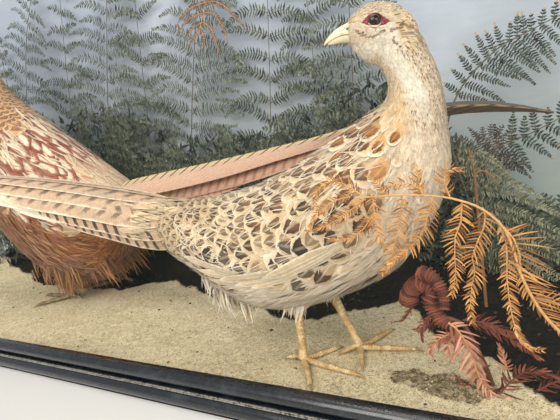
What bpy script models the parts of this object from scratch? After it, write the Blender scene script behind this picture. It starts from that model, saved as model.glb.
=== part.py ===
"""A hen pheasant, mounted in a glazed display case with a cock bird, bracken and a sanded floor.

Metres, +Z up. The origin is the middle of the case's underside, and the glazed front faces -Y.
"""

import math

import bmesh
import bpy
import numpy as np
from mathutils import Matrix, Vector

MM = 0.001
GAP = 0.4 * MM  # clearance between pieces that touch

# ---- the case ----
CASE_WIDTH = 1.003
CASE_DEPTH = 0.3305
CASE_HEIGHT = 0.520
GLASS = 2.5 * MM
RAIL = 14 * MM  # how far the ebonised rails stand in front of the glass
BACKBOARD = 8 * MM
BASE_BOARD = 4 * MM
FRONT_RAIL_HEIGHT = 27 * MM
TOP_RAIL_HEIGHT = 18 * MM
POST = 14 * MM
FLOOR_LEVEL = 8 * MM  # top of the sand where the hen stands

INNER_LEFT = -CASE_WIDTH / 2 + RAIL + GLASS
INNER_RIGHT = CASE_WIDTH / 2 - RAIL - GLASS
INNER_FRONT = -CASE_DEPTH / 2 + RAIL + GLASS
INNER_BACK = CASE_DEPTH / 2 - BACKBOARD

# ---- the hen ----
HEN_PLACE = (0.2286, -0.0779)
HEN_HEADING = math.radians(8)
HEN_TAIL_LENGTH = 0.226
HEN_HEAD_TURN = math.radians(-163)  # looking back over the right shoulder
HEN_HEAD_PITCH = math.radians(6)
HEN_HEAD_CENTRE = (0.0950, -0.0075, 0.2410)
HEN_EYE_RADIUS = 4.8 * MM

# ---- the cock ----
COCK_PLACE = (0.108, 0.026)
COCK_HEADING = math.radians(183.5)


# ------------------------------------------------------------------ helpers


def clear_scene():
    for old in list(bpy.data.objects):
        bpy.data.objects.remove(old)


def collection(name, hidden=False):
    made = bpy.data.collections.new(name)
    bpy.context.scene.collection.children.link(made)
    made.hide_render = hidden
    return made


def material(name, colour, roughness=0.7, metallic=0.0, alpha=1.0):
    made = bpy.data.materials.new(name)
    made.use_nodes = True
    shader = made.node_tree.nodes["Principled BSDF"]
    shader.inputs["Base Color"].default_value = (*colour, 1.0)
    shader.inputs["Roughness"].default_value = roughness
    shader.inputs["Metallic"].default_value = metallic
    shader.inputs["Alpha"].default_value = alpha
    return made


def new_object(name, mesh, group, finish=None, parent=None):
    made = bpy.data.objects.new(name, mesh)
    group.objects.link(made)
    if finish is not None:
        mesh.materials.append(finish)
    made.parent = parent
    return made


def as_helper(thing):
    thing.hide_render = True
    thing.display_type = "WIRE"
    return thing


def mesh_of(name, points, faces):
    mesh = bpy.data.meshes.new(name)
    mesh.from_pydata([tuple(p) for p in points], [], faces)
    tidy = bmesh.new()
    tidy.from_mesh(mesh)
    bmesh.ops.recalc_face_normals(tidy, faces=tidy.faces)
    tidy.to_mesh(mesh)
    tidy.free()
    mesh.shade_smooth()
    return mesh


def loft_mesh(name, rings):
    """A closed body through rings that all have the same number of points, with flat ends."""
    count = len(rings[0])
    points = [p for ring in rings for p in ring]
    faces = [
        (r * count + k, r * count + (k + 1) % count, (r + 1) * count + (k + 1) % count, (r + 1) * count + k)
        for r in range(len(rings) - 1)
        for k in range(count)
    ]
    faces.append(tuple(range(count)))
    faces.append(tuple((len(rings) - 1) * count + k for k in range(count)))
    return mesh_of(name, points, faces)


def smooth(table, at):
    """Rows of a table read at fractional row numbers, on a Catmull-Rom curve through its rows."""
    rows = np.asarray(table, float)
    padded = np.vstack([2 * rows[0] - rows[1], rows, 2 * rows[-1] - rows[-2]])
    at = np.clip(np.asarray(at, float), 0, len(rows) - 1 - 1e-9)
    i = at.astype(int)
    f = (at - i)[:, None]
    a, b, c, d = padded[i], padded[i + 1], padded[i + 2], padded[i + 3]
    return 0.5 * (2 * b + (c - a) * f + (2 * a - 5 * b + 4 * c - d) * f**2 + (3 * b - a - 3 * c + d) * f**3)


def boolean(target, cutter, operation):
    step = target.modifiers.new(operation.title() + " " + cutter.name, "BOOLEAN")
    step.operation = operation
    step.solver = "EXACT"
    step.object = cutter


def tube(name, points, radii, group, sides=1):
    """A closed mesh along points, made from a bevelled poly curve whose caps are welded."""
    curve = bpy.data.curves.new(name, "CURVE")
    curve.dimensions = "3D"
    curve.bevel_depth = 1.0
    curve.bevel_resolution = sides
    curve.use_fill_caps = True
    line = curve.splines.new("POLY")
    line.points.add(len(points) - 1)
    for slot, place, radius in zip(line.points, points, radii):
        slot.co = (*place, 1.0)
        slot.radius = radius
    draft = bpy.data.objects.new(name + "_curve", curve)
    bpy.context.scene.collection.objects.link(draft)
    bpy.context.view_layer.update()
    evaluated = draft.evaluated_get(bpy.context.evaluated_depsgraph_get())
    mesh = bpy.data.meshes.new_from_object(evaluated)
    bpy.data.objects.remove(draft)
    weld = bmesh.new()
    weld.from_mesh(mesh)
    bmesh.ops.remove_doubles(weld, verts=weld.verts, dist=0.00001)
    bmesh.ops.recalc_face_normals(weld, faces=weld.faces)
    weld.to_mesh(mesh)
    weld.free()
    return new_object(name, mesh, group)


def box(name, low, high, group, finish):
    mesh = bpy.data.meshes.new(name)
    cube = bmesh.new()
    size = Vector(high) - Vector(low)
    middle = (Vector(high) + Vector(low)) / 2
    bmesh.ops.create_cube(cube, size=1, matrix=Matrix.Diagonal((*size, 1)))
    cube.to_mesh(mesh)
    cube.free()
    made = new_object(name, mesh, group, finish)
    made.location = middle
    return made


# ------------------------------------------------------------------ a bird's body as a swept surface


class Sweep:
    """A body swept through cross-sections that fan out in the bird's own upright plane.

    Each section is (top x, top z, bottom x, bottom z, half width, sideways shift) in millimetres.
    """

    def __init__(self, sections):
        self.sections = np.asarray(sections, float) * MM
        self.last = len(sections) - 1

    def point(self, along, angle, grow=0.0):
        """Points at fractional section numbers and angles, where angle 0 is the top and 90 degrees the left."""
        along, angle = np.broadcast_arrays(np.atleast_1d(along).astype(float), np.atleast_1d(angle))
        rows = smooth(self.sections, along)
        top = np.stack([rows[:, 0], rows[:, 1]], 1)
        bottom = np.stack([rows[:, 2], rows[:, 3]], 1)
        middle = (top + bottom) / 2
        half = (top - bottom) / 2
        length = np.linalg.norm(half, axis=1)
        half = half * ((length + grow) / length)[:, None]
        wide = rows[:, 4] + grow
        flat = middle + half * np.cos(angle)[:, None]
        return np.stack([flat[:, 0], rows[:, 5] + wide * np.sin(angle), flat[:, 1]], 1)

    def rings(self, start, end, steps, around=32, grow=0.0):
        turn = np.linspace(0, 2 * math.pi, around, endpoint=False)
        return [self.point(np.full(around, s), turn, grow) for s in np.linspace(start, end, steps)]


HEN_SECTIONS = [
    # top x, top z, bottom x, bottom z, half width, shift      from the rump to the top of the neck
    (-110, 142, -106, 95, 22, 0),
    (-80, 143, -76, 77, 35, 0),
    (-46, 144, -44, 53, 45, 0),
    (-12, 150, -10, 47, 50, 0),
    (24, 163, 26, 52, 51, 0),
    (54, 177, 66, 65, 50, 0),
    (72, 186, 97, 85, 45, 0),
    (83, 191, 119, 115, 39, 0),
    (89, 195, 131, 147, 32, -1),
    (93, 202, 131, 173, 26, -2),
    (93, 212, 130, 195, 21, -4),
    (89, 224, 127, 213, 18.5, -6),
    (88, 237, 120, 231, 17, -7),
]
HEN_NECK_START = 7.6  # section number where the neck leaves the trunk


HEN_HEAD_SECTIONS = [
    # distance forward, top, bottom, half width, from the back of the head to the bill
    (-21.5, -1.5, -12.0, 6.0),
    (-18.8, 4.5, -16.0, 10.0),
    (-12.6, 11.8, -19.0, 13.0),
    (-4.0, 16.7, -21.0, 14.6),
    (5.0, 18.1, -21.5, 14.2),
    (12.5, 16.2, -19.5, 12.4),
    (18.0, 12.6, -12.5, 9.6),
    (22.0, 9.2, -4.5, 5.6),
]
HEN_BILL_SECTIONS = [
    (15.0, 8.6, -3.0, 5.0),
    (21.5, 9.4, -2.6, 5.0),
    (27.0, 8.4, -1.4, 4.1),
    (32.0, 6.3, -0.5, 3.0),
    (36.0, 3.4, 0.2, 1.7),
    (38.2, 1.6, 0.6, 0.6),
]
HEN_EYE_PLACE = (5.0, 9.9, 4.6)  # forward, sideways, up from the head's centre, mm


def axial_rings(sections, steps, around, grow=0.0):
    """Rings round a level axis, for a head or a bill, in its own frame: +X forward, +Z up."""
    rows = smooth(np.asarray(sections, float) * MM, np.linspace(0, len(sections) - 1, steps))
    turn = np.linspace(0, 2 * math.pi, around, endpoint=False)
    rings = []
    for k, (ahead, top, bottom, wide) in enumerate(rows):
        ahead += grow * (2 * k / (steps - 1) - 1)
        tall = (top - bottom) / 2 + grow
        ring = [(ahead, (wide + grow) * math.sin(t), (top + bottom) / 2 + tall * math.cos(t)) for t in turn]
        rings.append(ring)
    return rings


def turned(mesh, matrix):
    mesh.transform(matrix)
    return mesh


def head_matrix():
    turn = Matrix.Rotation(HEN_HEAD_TURN, 4, "Z") @ Matrix.Rotation(HEN_HEAD_PITCH, 4, "Y")
    return Matrix.Translation(HEN_HEAD_CENTRE) @ turn


def eye_place(side):
    ahead, across, up = HEN_EYE_PLACE
    return head_matrix() @ Vector((ahead * MM, side * across * MM, up * MM))


def eye_mesh(name, side, radius):
    mesh = bpy.data.meshes.new(name)
    ball = bmesh.new()
    bmesh.ops.create_uvsphere(ball, u_segments=12, v_segments=8, radius=radius)
    ball.to_mesh(mesh)
    ball.free()
    mesh.transform(Matrix.Translation(eye_place(side)))
    mesh.shade_smooth()
    return mesh


# ------------------------------------------------------------------ the hen's pieces


def hen_body(body, group, tools, stance, plumage):
    trunk = loft_mesh("hen_trunk", body.rings(0, HEN_NECK_START, 19, around=24))
    new_object("hen_trunk", trunk, group, plumage, stance)

    neck_start = HEN_NECK_START + 0.02
    neck_mesh = loft_mesh("hen_neck", body.rings(neck_start, body.last, 10, around=20))
    neck = new_object("hen_neck", neck_mesh, group, plumage, stance)
    room = loft_mesh("head_room", axial_rings(HEN_HEAD_SECTIONS, 10, 16, GAP))
    head_room = as_helper(new_object("head_room", turned(room, head_matrix()), tools, parent=stance))
    boolean(neck, head_room, "DIFFERENCE")


def hen_head(group, tools, stance, plumage, horn, glass_eye):
    skull = turned(loft_mesh("hen_head", axial_rings(HEN_HEAD_SECTIONS, 10, 16)), head_matrix())
    head = new_object("hen_head", skull, group, plumage, stance)
    bill_mesh = turned(loft_mesh("hen_bill", axial_rings(HEN_BILL_SECTIONS, 8, 10)), head_matrix())
    bill = new_object("hen_bill", bill_mesh, group, horn, stance)
    room = turned(loft_mesh("bill_room", axial_rings(HEN_HEAD_SECTIONS, 10, 16, GAP)), head_matrix())
    boolean(bill, as_helper(new_object("bill_room", room, tools, parent=stance)), "DIFFERENCE")
    for word, side in (("left", 1), ("right", -1)):
        name = "hen_eye_" + word
        new_object(name, eye_mesh(name, side, HEN_EYE_RADIUS), group, glass_eye, stance)
        socket_mesh = eye_mesh("socket_" + word, side, HEN_EYE_RADIUS + GAP)
        socket = as_helper(new_object("socket_" + word, socket_mesh, tools, parent=stance))
        boolean(head, socket, "DIFFERENCE")


def hen_wing(side, body, group, stance, plumage):
    """A closed wing: a thick leaf that lies on the flank from the shoulder to the tips of the primaries."""
    name = "hen_wing_" + ("left" if side > 0 else "right")
    start, end = 7.0, 1.25  # section numbers at the shoulder and at the wing tip
    steps, across = 15, 7
    thickest = 5.0 * MM
    outer, inner = [], []
    for i in range(steps):
        t = i / (steps - 1)
        along = start + (end - start) * t
        upper = math.radians(36 + 24 * t**1.5)
        spread = math.radians(64) * math.sin(math.pi * (0.10 + 0.82 * t**0.8)) ** 0.75
        for j in range(across):
            q = j / (across - 1)
            angle = side * (upper + spread * q)
            swell = max(0.0, math.sin(math.pi * q)) ** 0.5 * max(0.0, math.sin(math.pi * t)) ** 0.4
            outer.append(body.point(along, angle, GAP + 1.0 * MM + (thickest - 1.0 * MM) * swell)[0])
            inner.append(body.point(along, angle, GAP + 0.15 * MM)[0])
    count = steps * across
    faces = []
    for i in range(steps - 1):
        for j in range(across - 1):
            a, b = i * across + j, (i + 1) * across + j
            faces.append((a, a + 1, b + 1, b))
            faces.append((count + a, count + b, count + b + 1, count + a + 1))
    rim = [j for j in range(across)]
    rim += [i * across + across - 1 for i in range(1, steps)]
    rim += [(steps - 1) * across + j for j in range(across - 2, -1, -1)]
    rim += [i * across for i in range(steps - 2, 0, -1)]
    for k, a in enumerate(rim):
        b = rim[(k + 1) % len(rim)]
        faces.append((a, b, count + b, count + a))
    new_object(name, mesh_of(name, outer + inner, faces), group, plumage, stance)


def tail_rings(base, tip, base_width, tip_width, base_drop, tip_drop, thick, arch, steps=12):
    """A closed tail: roof-shaped sections, with the ridge along the middle pair of feathers.

    arch is (rise of the ridge above the straight line, how late along the tail the rise comes).
    """
    across = 7
    rings = []
    for i in range(steps):
        t = i / (steps - 1)
        ridge = Vector(base).lerp(Vector(tip), t) + Vector((0, 0, arch[0] * math.sin(math.pi * t ** arch[1])))
        full = (1 - t**4) ** 0.5
        wide = tip_width + (base_width - tip_width) * full * (1 - 0.3 * t)
        drop = tip_drop + (base_drop - tip_drop) * full * (1 - 0.3 * t)
        body = thick * (1 - 0.8 * t)
        upper, lower = [], []
        for j in range(across):
            q = 2 * j / (across - 1) - 1
            fall = drop * abs(q) ** 1.15
            upper.append((ridge.x, ridge.y + wide * q, ridge.z - fall))
            lower.append((ridge.x, ridge.y + wide * q * 0.80, ridge.z - fall - body))
        rings.append(upper + lower[::-1])
    return rings


def hen_tail(group, stance, plumage):
    start = -0.1105 - GAP
    rings = tail_rings(
        (start, 0, 0.1425),
        (start - HEN_TAIL_LENGTH, 0, 0.191),
        base_width=0.0215,
        tip_width=0.006,
        base_drop=0.034,
        tip_drop=0.010,
        thick=0.017,
        arch=(0.003, 1.0),
    )
    new_object("hen_tail", loft_mesh("hen_tail", rings), group, plumage, stance)


def foot_on_floor(name, ankle, heel, toes, group, tools, parent, skin, thick=1.0):
    """A shank with three front toes, a raised hind toe and their claws, as one solid.

    Each toe is (bearing in degrees, length) and lies on the floor at the heel's level.
    """
    ankle, heel = Vector(ankle), Vector(heel)
    shank = [ankle.lerp(heel, t) for t in (0, 0.35, 0.75, 1)]
    shank_radii = [r * MM * thick for r in (4.2, 3.4, 3.4, 4.2)]
    leg = tube(name, shank, shank_radii, group)
    leg.data.materials.append(skin)
    leg.parent = parent
    for k, (bearing, length) in enumerate(toes):
        hind = k == 3
        across = Vector((math.cos(math.radians(bearing)), math.sin(math.radians(bearing)), 0))
        floor = heel.z - 5.0 * MM * thick
        points, radii = [], []
        for t, height, radius in ((-0.03, 5.2, 2.6), (0.18, 4.4, 2.9), (0.5, 3.6, 2.6), (0.78, 2.6, 2.0),
                                  (0.9, 2.4, 1.2), (1.0, 0.6, 0.35)):
            lift = 3.5 * (1 - t) if hind else 0.0
            points.append(heel + across * length * t + Vector((0, 0, floor + (height + lift) * MM * thick - heel.z)))
            radii.append(radius * (0.8 if hind else 1.0) * MM * thick)
        toe = as_helper(tube(f"{name}_toe_{k}", points, radii, tools))
        toe.parent = parent
        boolean(leg, toe, "UNION")
    return leg


def hen_legs(body, group, tools, stance, plumage, scales):
    places = {
        # side word: (where the shank meets the thigh, heel, toes as bearing and length)
        "right": ((0.0046, -0.0145, 0.045), (0.0037, -0.0187, 0.0052),
                  ((-17, 0.058), (-65, 0.040), (44, 0.039), (165, 0.020))),
        "left": ((0.0265, 0.0155, 0.040), (0.0458, 0.0020, 0.0052),
                 ((4, 0.052), (58, 0.046), (-76, 0.029), (205, 0.019))),
    }
    for word, (ankle, heel, toes) in places.items():
        foot_on_floor("hen_leg_" + word, ankle, heel, toes, group, tools, stance, scales)
        axis = (Vector(ankle) - Vector(heel)).normalized()
        one = axis.cross(Vector((0, 1, 0))).normalized()
        two = axis.cross(one)
        rings = []
        for rise, wide in ((GAP / MM, 5.5), (4, 7.5), (10, 10.0), (18, 12.0)):
            centre = Vector(ankle) + axis * rise * MM
            ring = [centre + (one * math.cos(a) + two * math.sin(a)) * wide * MM
                    for a in np.linspace(0, 2 * math.pi, 14, endpoint=False)]
            rings.append(ring)
        thigh = new_object("hen_thigh_" + word, loft_mesh("hen_thigh_" + word, rings), group, plumage, stance)
        room = loft_mesh("thigh_room_" + word, body.rings(0, HEN_NECK_START, 19, around=24, grow=GAP))
        boolean(thigh, as_helper(new_object("thigh_room_" + word, room, tools, parent=stance)), "DIFFERENCE")


def make_hen(group, tools, finishes):
    stance = bpy.data.objects.new("hen_stance", None)
    group.objects.link(stance)
    stance.location = (*HEN_PLACE, FLOOR_LEVEL)
    stance.rotation_euler = (0, 0, HEN_HEADING)
    body = Sweep(HEN_SECTIONS)
    hen_body(body, group, tools, stance, finishes["plumage"])
    hen_head(group, tools, stance, finishes["plumage"], finishes["horn"], finishes["glass_eye"])
    for side in (1, -1):
        hen_wing(side, body, group, stance, finishes["plumage"])
    hen_tail(group, stance, finishes["plumage"])
    hen_legs(body, group, tools, stance, finishes["plumage"], finishes["scales"])


# ------------------------------------------------------------------ the cock, built plainly as one solid

COCK_SECTIONS = [
    # top x, top z, bottom x, bottom z, half width, shift      from the rump to the bill
    (148, 132, 160, 104, 26, 0),
    (168, 151, 176, 66, 46, 0),
    (206, 183, 206, 28, 60, 0),
    (250, 220, 262, 16, 66, 0),
    (292, 255, 322, 34, 66, 0),
    (328, 285, 384, 96, 60, 0),
    (350, 309, 412, 176, 50, 0),
    (362, 337, 421, 250, 36, 0),
    (369, 365, 417, 315, 26, 0),
    (372, 393, 412, 362, 19, 0),
    (377, 419, 418, 385, 16, 0),
    (390, 436, 428, 396, 15.5, 0),
    (412, 439, 436, 401, 13.5, 0),
    (432, 426, 444, 409, 6.5, 0),
    (454, 417, 456, 407, 3.6, 0),
    (466, 409, 466, 404, 1.4, 0),
]


def make_cock(group, tools, finish):
    """Head to rump is one sweep. The tail and the legs are joined to it."""
    place = bpy.data.objects.new("cock_stance", None)
    group.objects.link(place)
    place.location = (*COCK_PLACE, FLOOR_LEVEL)
    place.rotation_euler = (0, 0, COCK_HEADING)
    sweep = Sweep(COCK_SECTIONS)
    cock = new_object("cock_pheasant", loft_mesh("cock_pheasant", sweep.rings(0, sweep.last, 22, 14)),
                      group, finish, place)
    rings = tail_rings((0.166, 0, 0.139), (-0.315, 0, 0.166), base_width=0.023, tip_width=0.004,
                       base_drop=0.030, tip_drop=0.003, thick=0.013, arch=(0.022, 3.0), steps=14)
    tail = as_helper(new_object("cock_tail", loft_mesh("cock_tail", rings), tools, parent=place))
    boolean(cock, tail, "UNION")
    for word, side in (("left", 1), ("right", -1)):
        heel = (0.262 + 0.020 * side, 0.030 * side, 0.0062)
        ankle = (0.262, 0.034 * side, 0.062)
        toes = ((-6, 0.066), (38, 0.052), (-42, 0.052), (180, 0.024))
        leg = foot_on_floor("cock_leg_" + word, ankle, heel, toes, tools, tools, place, finish, 1.2)
        boolean(cock, as_helper(leg), "UNION")


# ------------------------------------------------------------------ the lie of the ground


def floor_height(x, y):
    """The sand is level where the birds stand, and rises in low mounds behind and between them."""
    mounds = (
        # x, y, spread in x, spread in y, height, all mm
        (55, 88, 105, 34, 24),
        (-470, 80, 120, 52, 38),
        (-120, 125, 140, 34, 22),
        (285, 95, 130, 36, 18),
        (440, 20, 60, 80, 12),
        (350, -85, 45, 26, 3),
    )
    rise = 0.0
    for mx, my, sx, sy, tall in mounds:
        rise += tall * MM * math.exp(-(((x / MM - mx) / sx) ** 2 + ((y / MM - my) / sy) ** 2))
    return FLOOR_LEVEL + rise * level_share(x, y)


def level_share(x, y):
    """0 where a bird's feet need level ground, 1 away from them."""
    share = 1.0
    for cx, cy, reach in ((0.260, -0.075, 0.085), (-0.172, 0.010, 0.100)):
        away = math.hypot(x - cx, y - cy) / reach
        share *= min(1.0, max(0.0, (away - 0.9) / 0.5))
    return share


# ------------------------------------------------------------------ bracken

BACK_FERNS = [
    # name, foot (x, y), bend and tip (x, y, z), pairs of pinnae, longest pinna
    ("fern_far_left", (-0.430, 0.130), (-0.400, 0.132, 0.250), (-0.270, 0.134, 0.470), 6, 0.078),
    ("fern_left", (-0.262, 0.136), (-0.190, 0.138, 0.250), (-0.068, 0.140, 0.475), 6, 0.085),
    ("fern_middle", (-0.035, 0.144), (0.020, 0.146, 0.250), (0.100, 0.148, 0.470), 7, 0.080),
    ("fern_behind_hen", (0.155, 0.128), (0.195, 0.130, 0.230), (0.245, 0.132, 0.440), 7, 0.072),
    ("fern_right_high", (0.282, 0.118), (0.290, 0.120, 0.238), (0.444, 0.124, 0.262), 8, 0.062),
    ("fern_right_low", (0.325, 0.108), (0.330, 0.110, 0.135), (0.470, 0.114, 0.168), 7, 0.048),
]

FRONT_FERN_STEM = [(446, 10), (434, 45), (413, 79), (402, 98), (395, 120), (390, 136), (380, 146), (364, 151),
                   (342, 154), (320, 153), (304, 165)]  # x, z
FRONT_FERN_PINNAE = [
    # root, middle and tip (x, z), half width, all mm
    ((367, 151), (363, 159), (368, 170), 5),
    ((356, 153), (352, 160), (349, 171), 5),
    ((354, 153), (345, 136), (331, 112), 8),
    ((343, 154), (340, 140), (325, 110), 7),
    ((328, 153), (325, 140), (328, 124), 6),
    ((316, 157), (306, 148), (296, 138), 8),
    ((374, 148), (367, 124), (364, 97), 9),
    ((383, 144), (375, 118), (369, 80), 8),
    ((391, 133), (391, 105), (400, 68), 9),
    ((396, 115), (410, 92), (430, 70), 8),
]
FRONT_FERN_Y = -0.1425

CURLED_FERN = [(376, 8), (366, 28), (356, 46), (345, 55), (333, 68), (331, 82), (341, 91), (352, 84)]  # x, z
CURLED_FERN_PINNAE = [
    ((358, 42), (372, 42), (388, 34), 6),
    ((368, 24), (384, 26), (400, 19), 6),
    ((346, 54), (338, 46), (333, 38), 4),
]
CURLED_FERN_Y = -0.090


def fern_path(foot, bend, tip, count):
    """Points and tangents of a quadratic curve from the foot over the bend to the tip."""
    foot, bend, tip = Vector(foot), Vector(bend), Vector(tip)
    points, tangents = [], []
    for k in range(count):
        t = k / (count - 1)
        points.append(foot * (1 - t) ** 2 + bend * 2 * t * (1 - t) + tip * t * t)
        tangents.append(((bend - foot) * (1 - t) + (tip - bend) * t).normalized())
    return points, tangents


def fern_mesh(name, foot, bend, tip, pairs, longest):
    """A frond as a thin plate: a stem with tapered pinnae in pairs, all one closed body."""
    bare = 4  # stem stretches below the first pair
    count = bare + 2 * pairs + 1
    points, tangents = fern_path(foot, bend, tip, count)
    face = Vector((0, -1, 0))
    half_stem, half_thick = 1.3 * MM, 0.5 * MM
    low, high = [], []

    def put(place):
        low.append(place - face * half_thick)
        high.append(place + face * half_thick)
        return len(low) - 1

    edge = {1: [], -1: []}
    blades = {1: {}, -1: {}}
    for k, (place, along) in enumerate(zip(points, tangents)):
        across = face.cross(along).normalized()
        narrow = half_stem * (1 - 0.6 * k / (count - 1))
        for side in (1, -1):
            edge[side].append(put(place + across * side * narrow))
    for pair in range(pairs):
        k = bare + 2 * pair
        share = (pair + 0.6) / pairs
        reach = longest * (1 - share) ** 0.75 * min(1, 0.55 + 1.6 * share)
        across = face.cross(tangents[k]).normalized()
        for side in (1, -1):
            way = (across * side * 0.93 + tangents[k] * 0.36).normalized()
            tips = []
            for end in (k, k + 1):
                tips.append(put(points[end] + way * reach + tangents[k] * (-0.8 if end == k else 0.8) * MM))
            blades[side][k] = tips
    size = len(low)
    top, walls = [], []
    for k in range(count - 1):
        a, b = edge[1][k], edge[1][k + 1]
        c, d = edge[-1][k + 1], edge[-1][k]
        top.append((a, b, c, d))
        for side in (1, -1):
            near, far = edge[side][k], edge[side][k + 1]
            if k in blades[side]:
                p, q = blades[side][k]
                top.append((near, p, q, far) if side > 0 else (near, far, q, p))
                line = [near, p, q, far]
            else:
                line = [near, far]
            walls += [(line[i], line[i + 1]) for i in range(len(line) - 1)]
    walls += [(edge[1][0], edge[-1][0]), (edge[1][-1], edge[-1][-1])]
    faces = [tuple(i + size for i in f) for f in top] + [f[::-1] for f in top]
    faces += [(a, b, b + size, a + size) for a, b in walls]
    return mesh_of(name, low + high, faces)


def blade_mesh(name, places, half_width):
    """A pinna as a thin closed leaf through three places, widest in the middle, flat in the plane Y."""
    rings = []
    for k, wide in enumerate((0.35, 1.0, 0.8, 0.12)):
        at = (0.0, 0.35, 0.7, 1.0)[k]
        row = smooth([(x, z) for x, z in places], [at * 2])[0] * MM
        ahead = smooth([(x, z) for x, z in places], [at * 2 + 0.1, at * 2 - 0.1])
        along = ahead[0] - ahead[1]
        across = np.array([-along[1], along[0]]) / np.linalg.norm(along) * half_width * wide * MM
        ring = [(row[0] + across[0] * s, d * 0.4 * MM, row[1] + across[1] * s) for s, d in
                ((1, 0), (0, -1), (-1, 0), (0, 1))]
        rings.append(ring)
    return loft_mesh(name, rings)


def leafy_fern(name, stem, pinnae, y, radius, group, tools, finish):
    """A frond that hangs or curls: a round stem with leaf-shaped pinnae joined to it."""
    radii = [radius(k / (len(stem) - 1)) * MM for k in range(len(stem))]
    places = [(x * MM, y, z * MM) for x, z in stem]
    foot_x = places[0][0]
    places[0] = (foot_x, y, floor_height(foot_x, y) + radii[0] + GAP)
    fern = tube(name, places, radii, group)
    fern.data.materials.append(finish)
    for k, (*places, half_width) in enumerate(pinnae):
        leaf = as_helper(new_object(f"{name}_pinna_{k}", blade_mesh(f"{name}_pinna_{k}", places, half_width), tools))
        leaf.location = (0, y, 0)
        boolean(fern, leaf, "UNION")


def make_ferns(group, tools, finishes):
    for name, (x, y), *shape in BACK_FERNS:
        foot = (x, y, floor_height(x, y) + 1.6 * MM)
        new_object(name, fern_mesh(name, foot, *shape), group, finishes["dark_fern"])
    leafy_fern("fern_front", FRONT_FERN_STEM, FRONT_FERN_PINNAE, FRONT_FERN_Y, lambda t: 2.4 - 1.6 * t,
               group, tools, finishes["dry_fern"])
    leafy_fern("fern_curled", CURLED_FERN, CURLED_FERN_PINNAE, CURLED_FERN_Y,
               lambda t: 2.0 + 5.0 * math.sin(math.pi * min(1, 0.1 + 0.8 * t)), group, tools, finishes["dry_fern"])


# ------------------------------------------------------------------ the sanded floor


def make_floor(group, finish):
    columns, rows = 24, 9
    x_low, x_high = INNER_LEFT + GAP, INNER_RIGHT - GAP
    y_low, y_high = INNER_FRONT + GAP, INNER_BACK - GAP
    top, bottom = [], []
    for r in range(rows + 1):
        for c in range(columns + 1):
            x = x_low + (x_high - x_low) * c / columns
            y = y_low + (y_high - y_low) * r / rows
            top.append((x, y, floor_height(x, y)))
            bottom.append((x, y, BASE_BOARD + GAP))
    wide, count = columns + 1, len(top)
    faces = []
    for r in range(rows):
        for c in range(columns):
            a = r * wide + c
            faces.append((a, a + 1, a + 1 + wide, a + wide))
    rim = list(range(wide))
    rim += [r * wide + columns for r in range(1, rows + 1)]
    rim += [rows * wide + c for c in range(columns - 1, -1, -1)]
    rim += [r * wide for r in range(rows - 1, 0, -1)]
    faces += [(a, rim[k - 1], rim[k - 1] + count, a + count) for k, a in enumerate(rim)]
    faces.append(tuple(i + count for i in rim))
    points = top + bottom
    used = sorted({i for f in faces for i in f})
    index = {old: new for new, old in enumerate(used)}
    mesh = mesh_of("groundwork", [points[i] for i in used], [tuple(index[i] for i in f) for f in faces])
    new_object("groundwork", mesh, group, finish)


# ------------------------------------------------------------------ the case


def moulding_profile(height):
    """Outline of a bottom rail: a plinth band, a shallow quirk and a half-round bead above it.

    Points are (distance in front of the glass line, height), from the inner bottom corner.
    """
    quirk = 0.50 * height
    bead_radius = (height - quirk) / 2
    outline = [(0, 0), (RAIL - 1.5 * MM, 0), (RAIL, 1.5 * MM), (RAIL, quirk - 3.0 * MM),
               (RAIL - 1.2 * MM, quirk - 1.0 * MM), (RAIL - 4.0 * MM, quirk - 0.6 * MM),
               (RAIL - 4.0 * MM, quirk + 0.3 * MM)]
    reach = RAIL - 3.0 * MM
    for k in range(1, 10):
        turn = math.pi * (-0.5 + k / 10)
        outline.append((reach * 0.42 + reach * 0.58 * math.cos(turn), quirk + bead_radius * (1 + math.sin(turn))))
    outline += [(reach * 0.30, height), (0, height)]
    return outline


def rail_mesh(name, outline, start, end, outward):
    """The outline swept from start to end and mitred at 45 degrees, standing out along outward."""
    start, end, outward = Vector(start), Vector(end), Vector(outward)
    along = (end - start).normalized()
    rings = []
    for place, lean in ((start, -1), (end, 1)):
        rings.append([place + outward * d + along * lean * d + Vector((0, 0, h)) for d, h in outline])
    return loft_mesh(name, rings)


def make_rails(group, ebony):
    left, right = INNER_LEFT - GLASS, INNER_RIGHT + GLASS
    front, back = INNER_FRONT - GLASS, CASE_DEPTH / 2
    ease = 0.15 * MM  # half the clearance at a mitre
    bottom_outline = moulding_profile(FRONT_RAIL_HEIGHT)
    top_outline = [(0, 0), (RAIL - 3 * MM, 0), (RAIL - 1 * MM, 2 * MM), (RAIL - 1 * MM, TOP_RAIL_HEIGHT - 4 * MM),
                   (RAIL - 3 * MM, TOP_RAIL_HEIGHT), (0, TOP_RAIL_HEIGHT)]
    top = CASE_HEIGHT - TOP_RAIL_HEIGHT
    for level, outline, height in (("bottom", bottom_outline, 0.0), ("top", top_outline, top)):
        name = f"case_{level}_rail_front"
        mesh = rail_mesh(name, outline, (left + ease, front, height), (right - ease, front, height), (0, -1, 0))
        new_object(name, mesh, group, ebony)
        for word, x, outward in (("left", left, -1), ("right", right, 1)):
            name = f"case_{level}_rail_{word}"
            mesh = rail_mesh(name, outline, (x, front + ease, height), (x, back, height), (outward, 0, 0))
            square_back(mesh, back)
            new_object(name, mesh, group, ebony)


def square_back(mesh, back):
    """The side rails' back ends are cut square, flush with the back of the case."""
    for vertex in mesh.vertices:
        if vertex.co.y > back - 1 * MM:
            vertex.co.y = back


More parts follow.
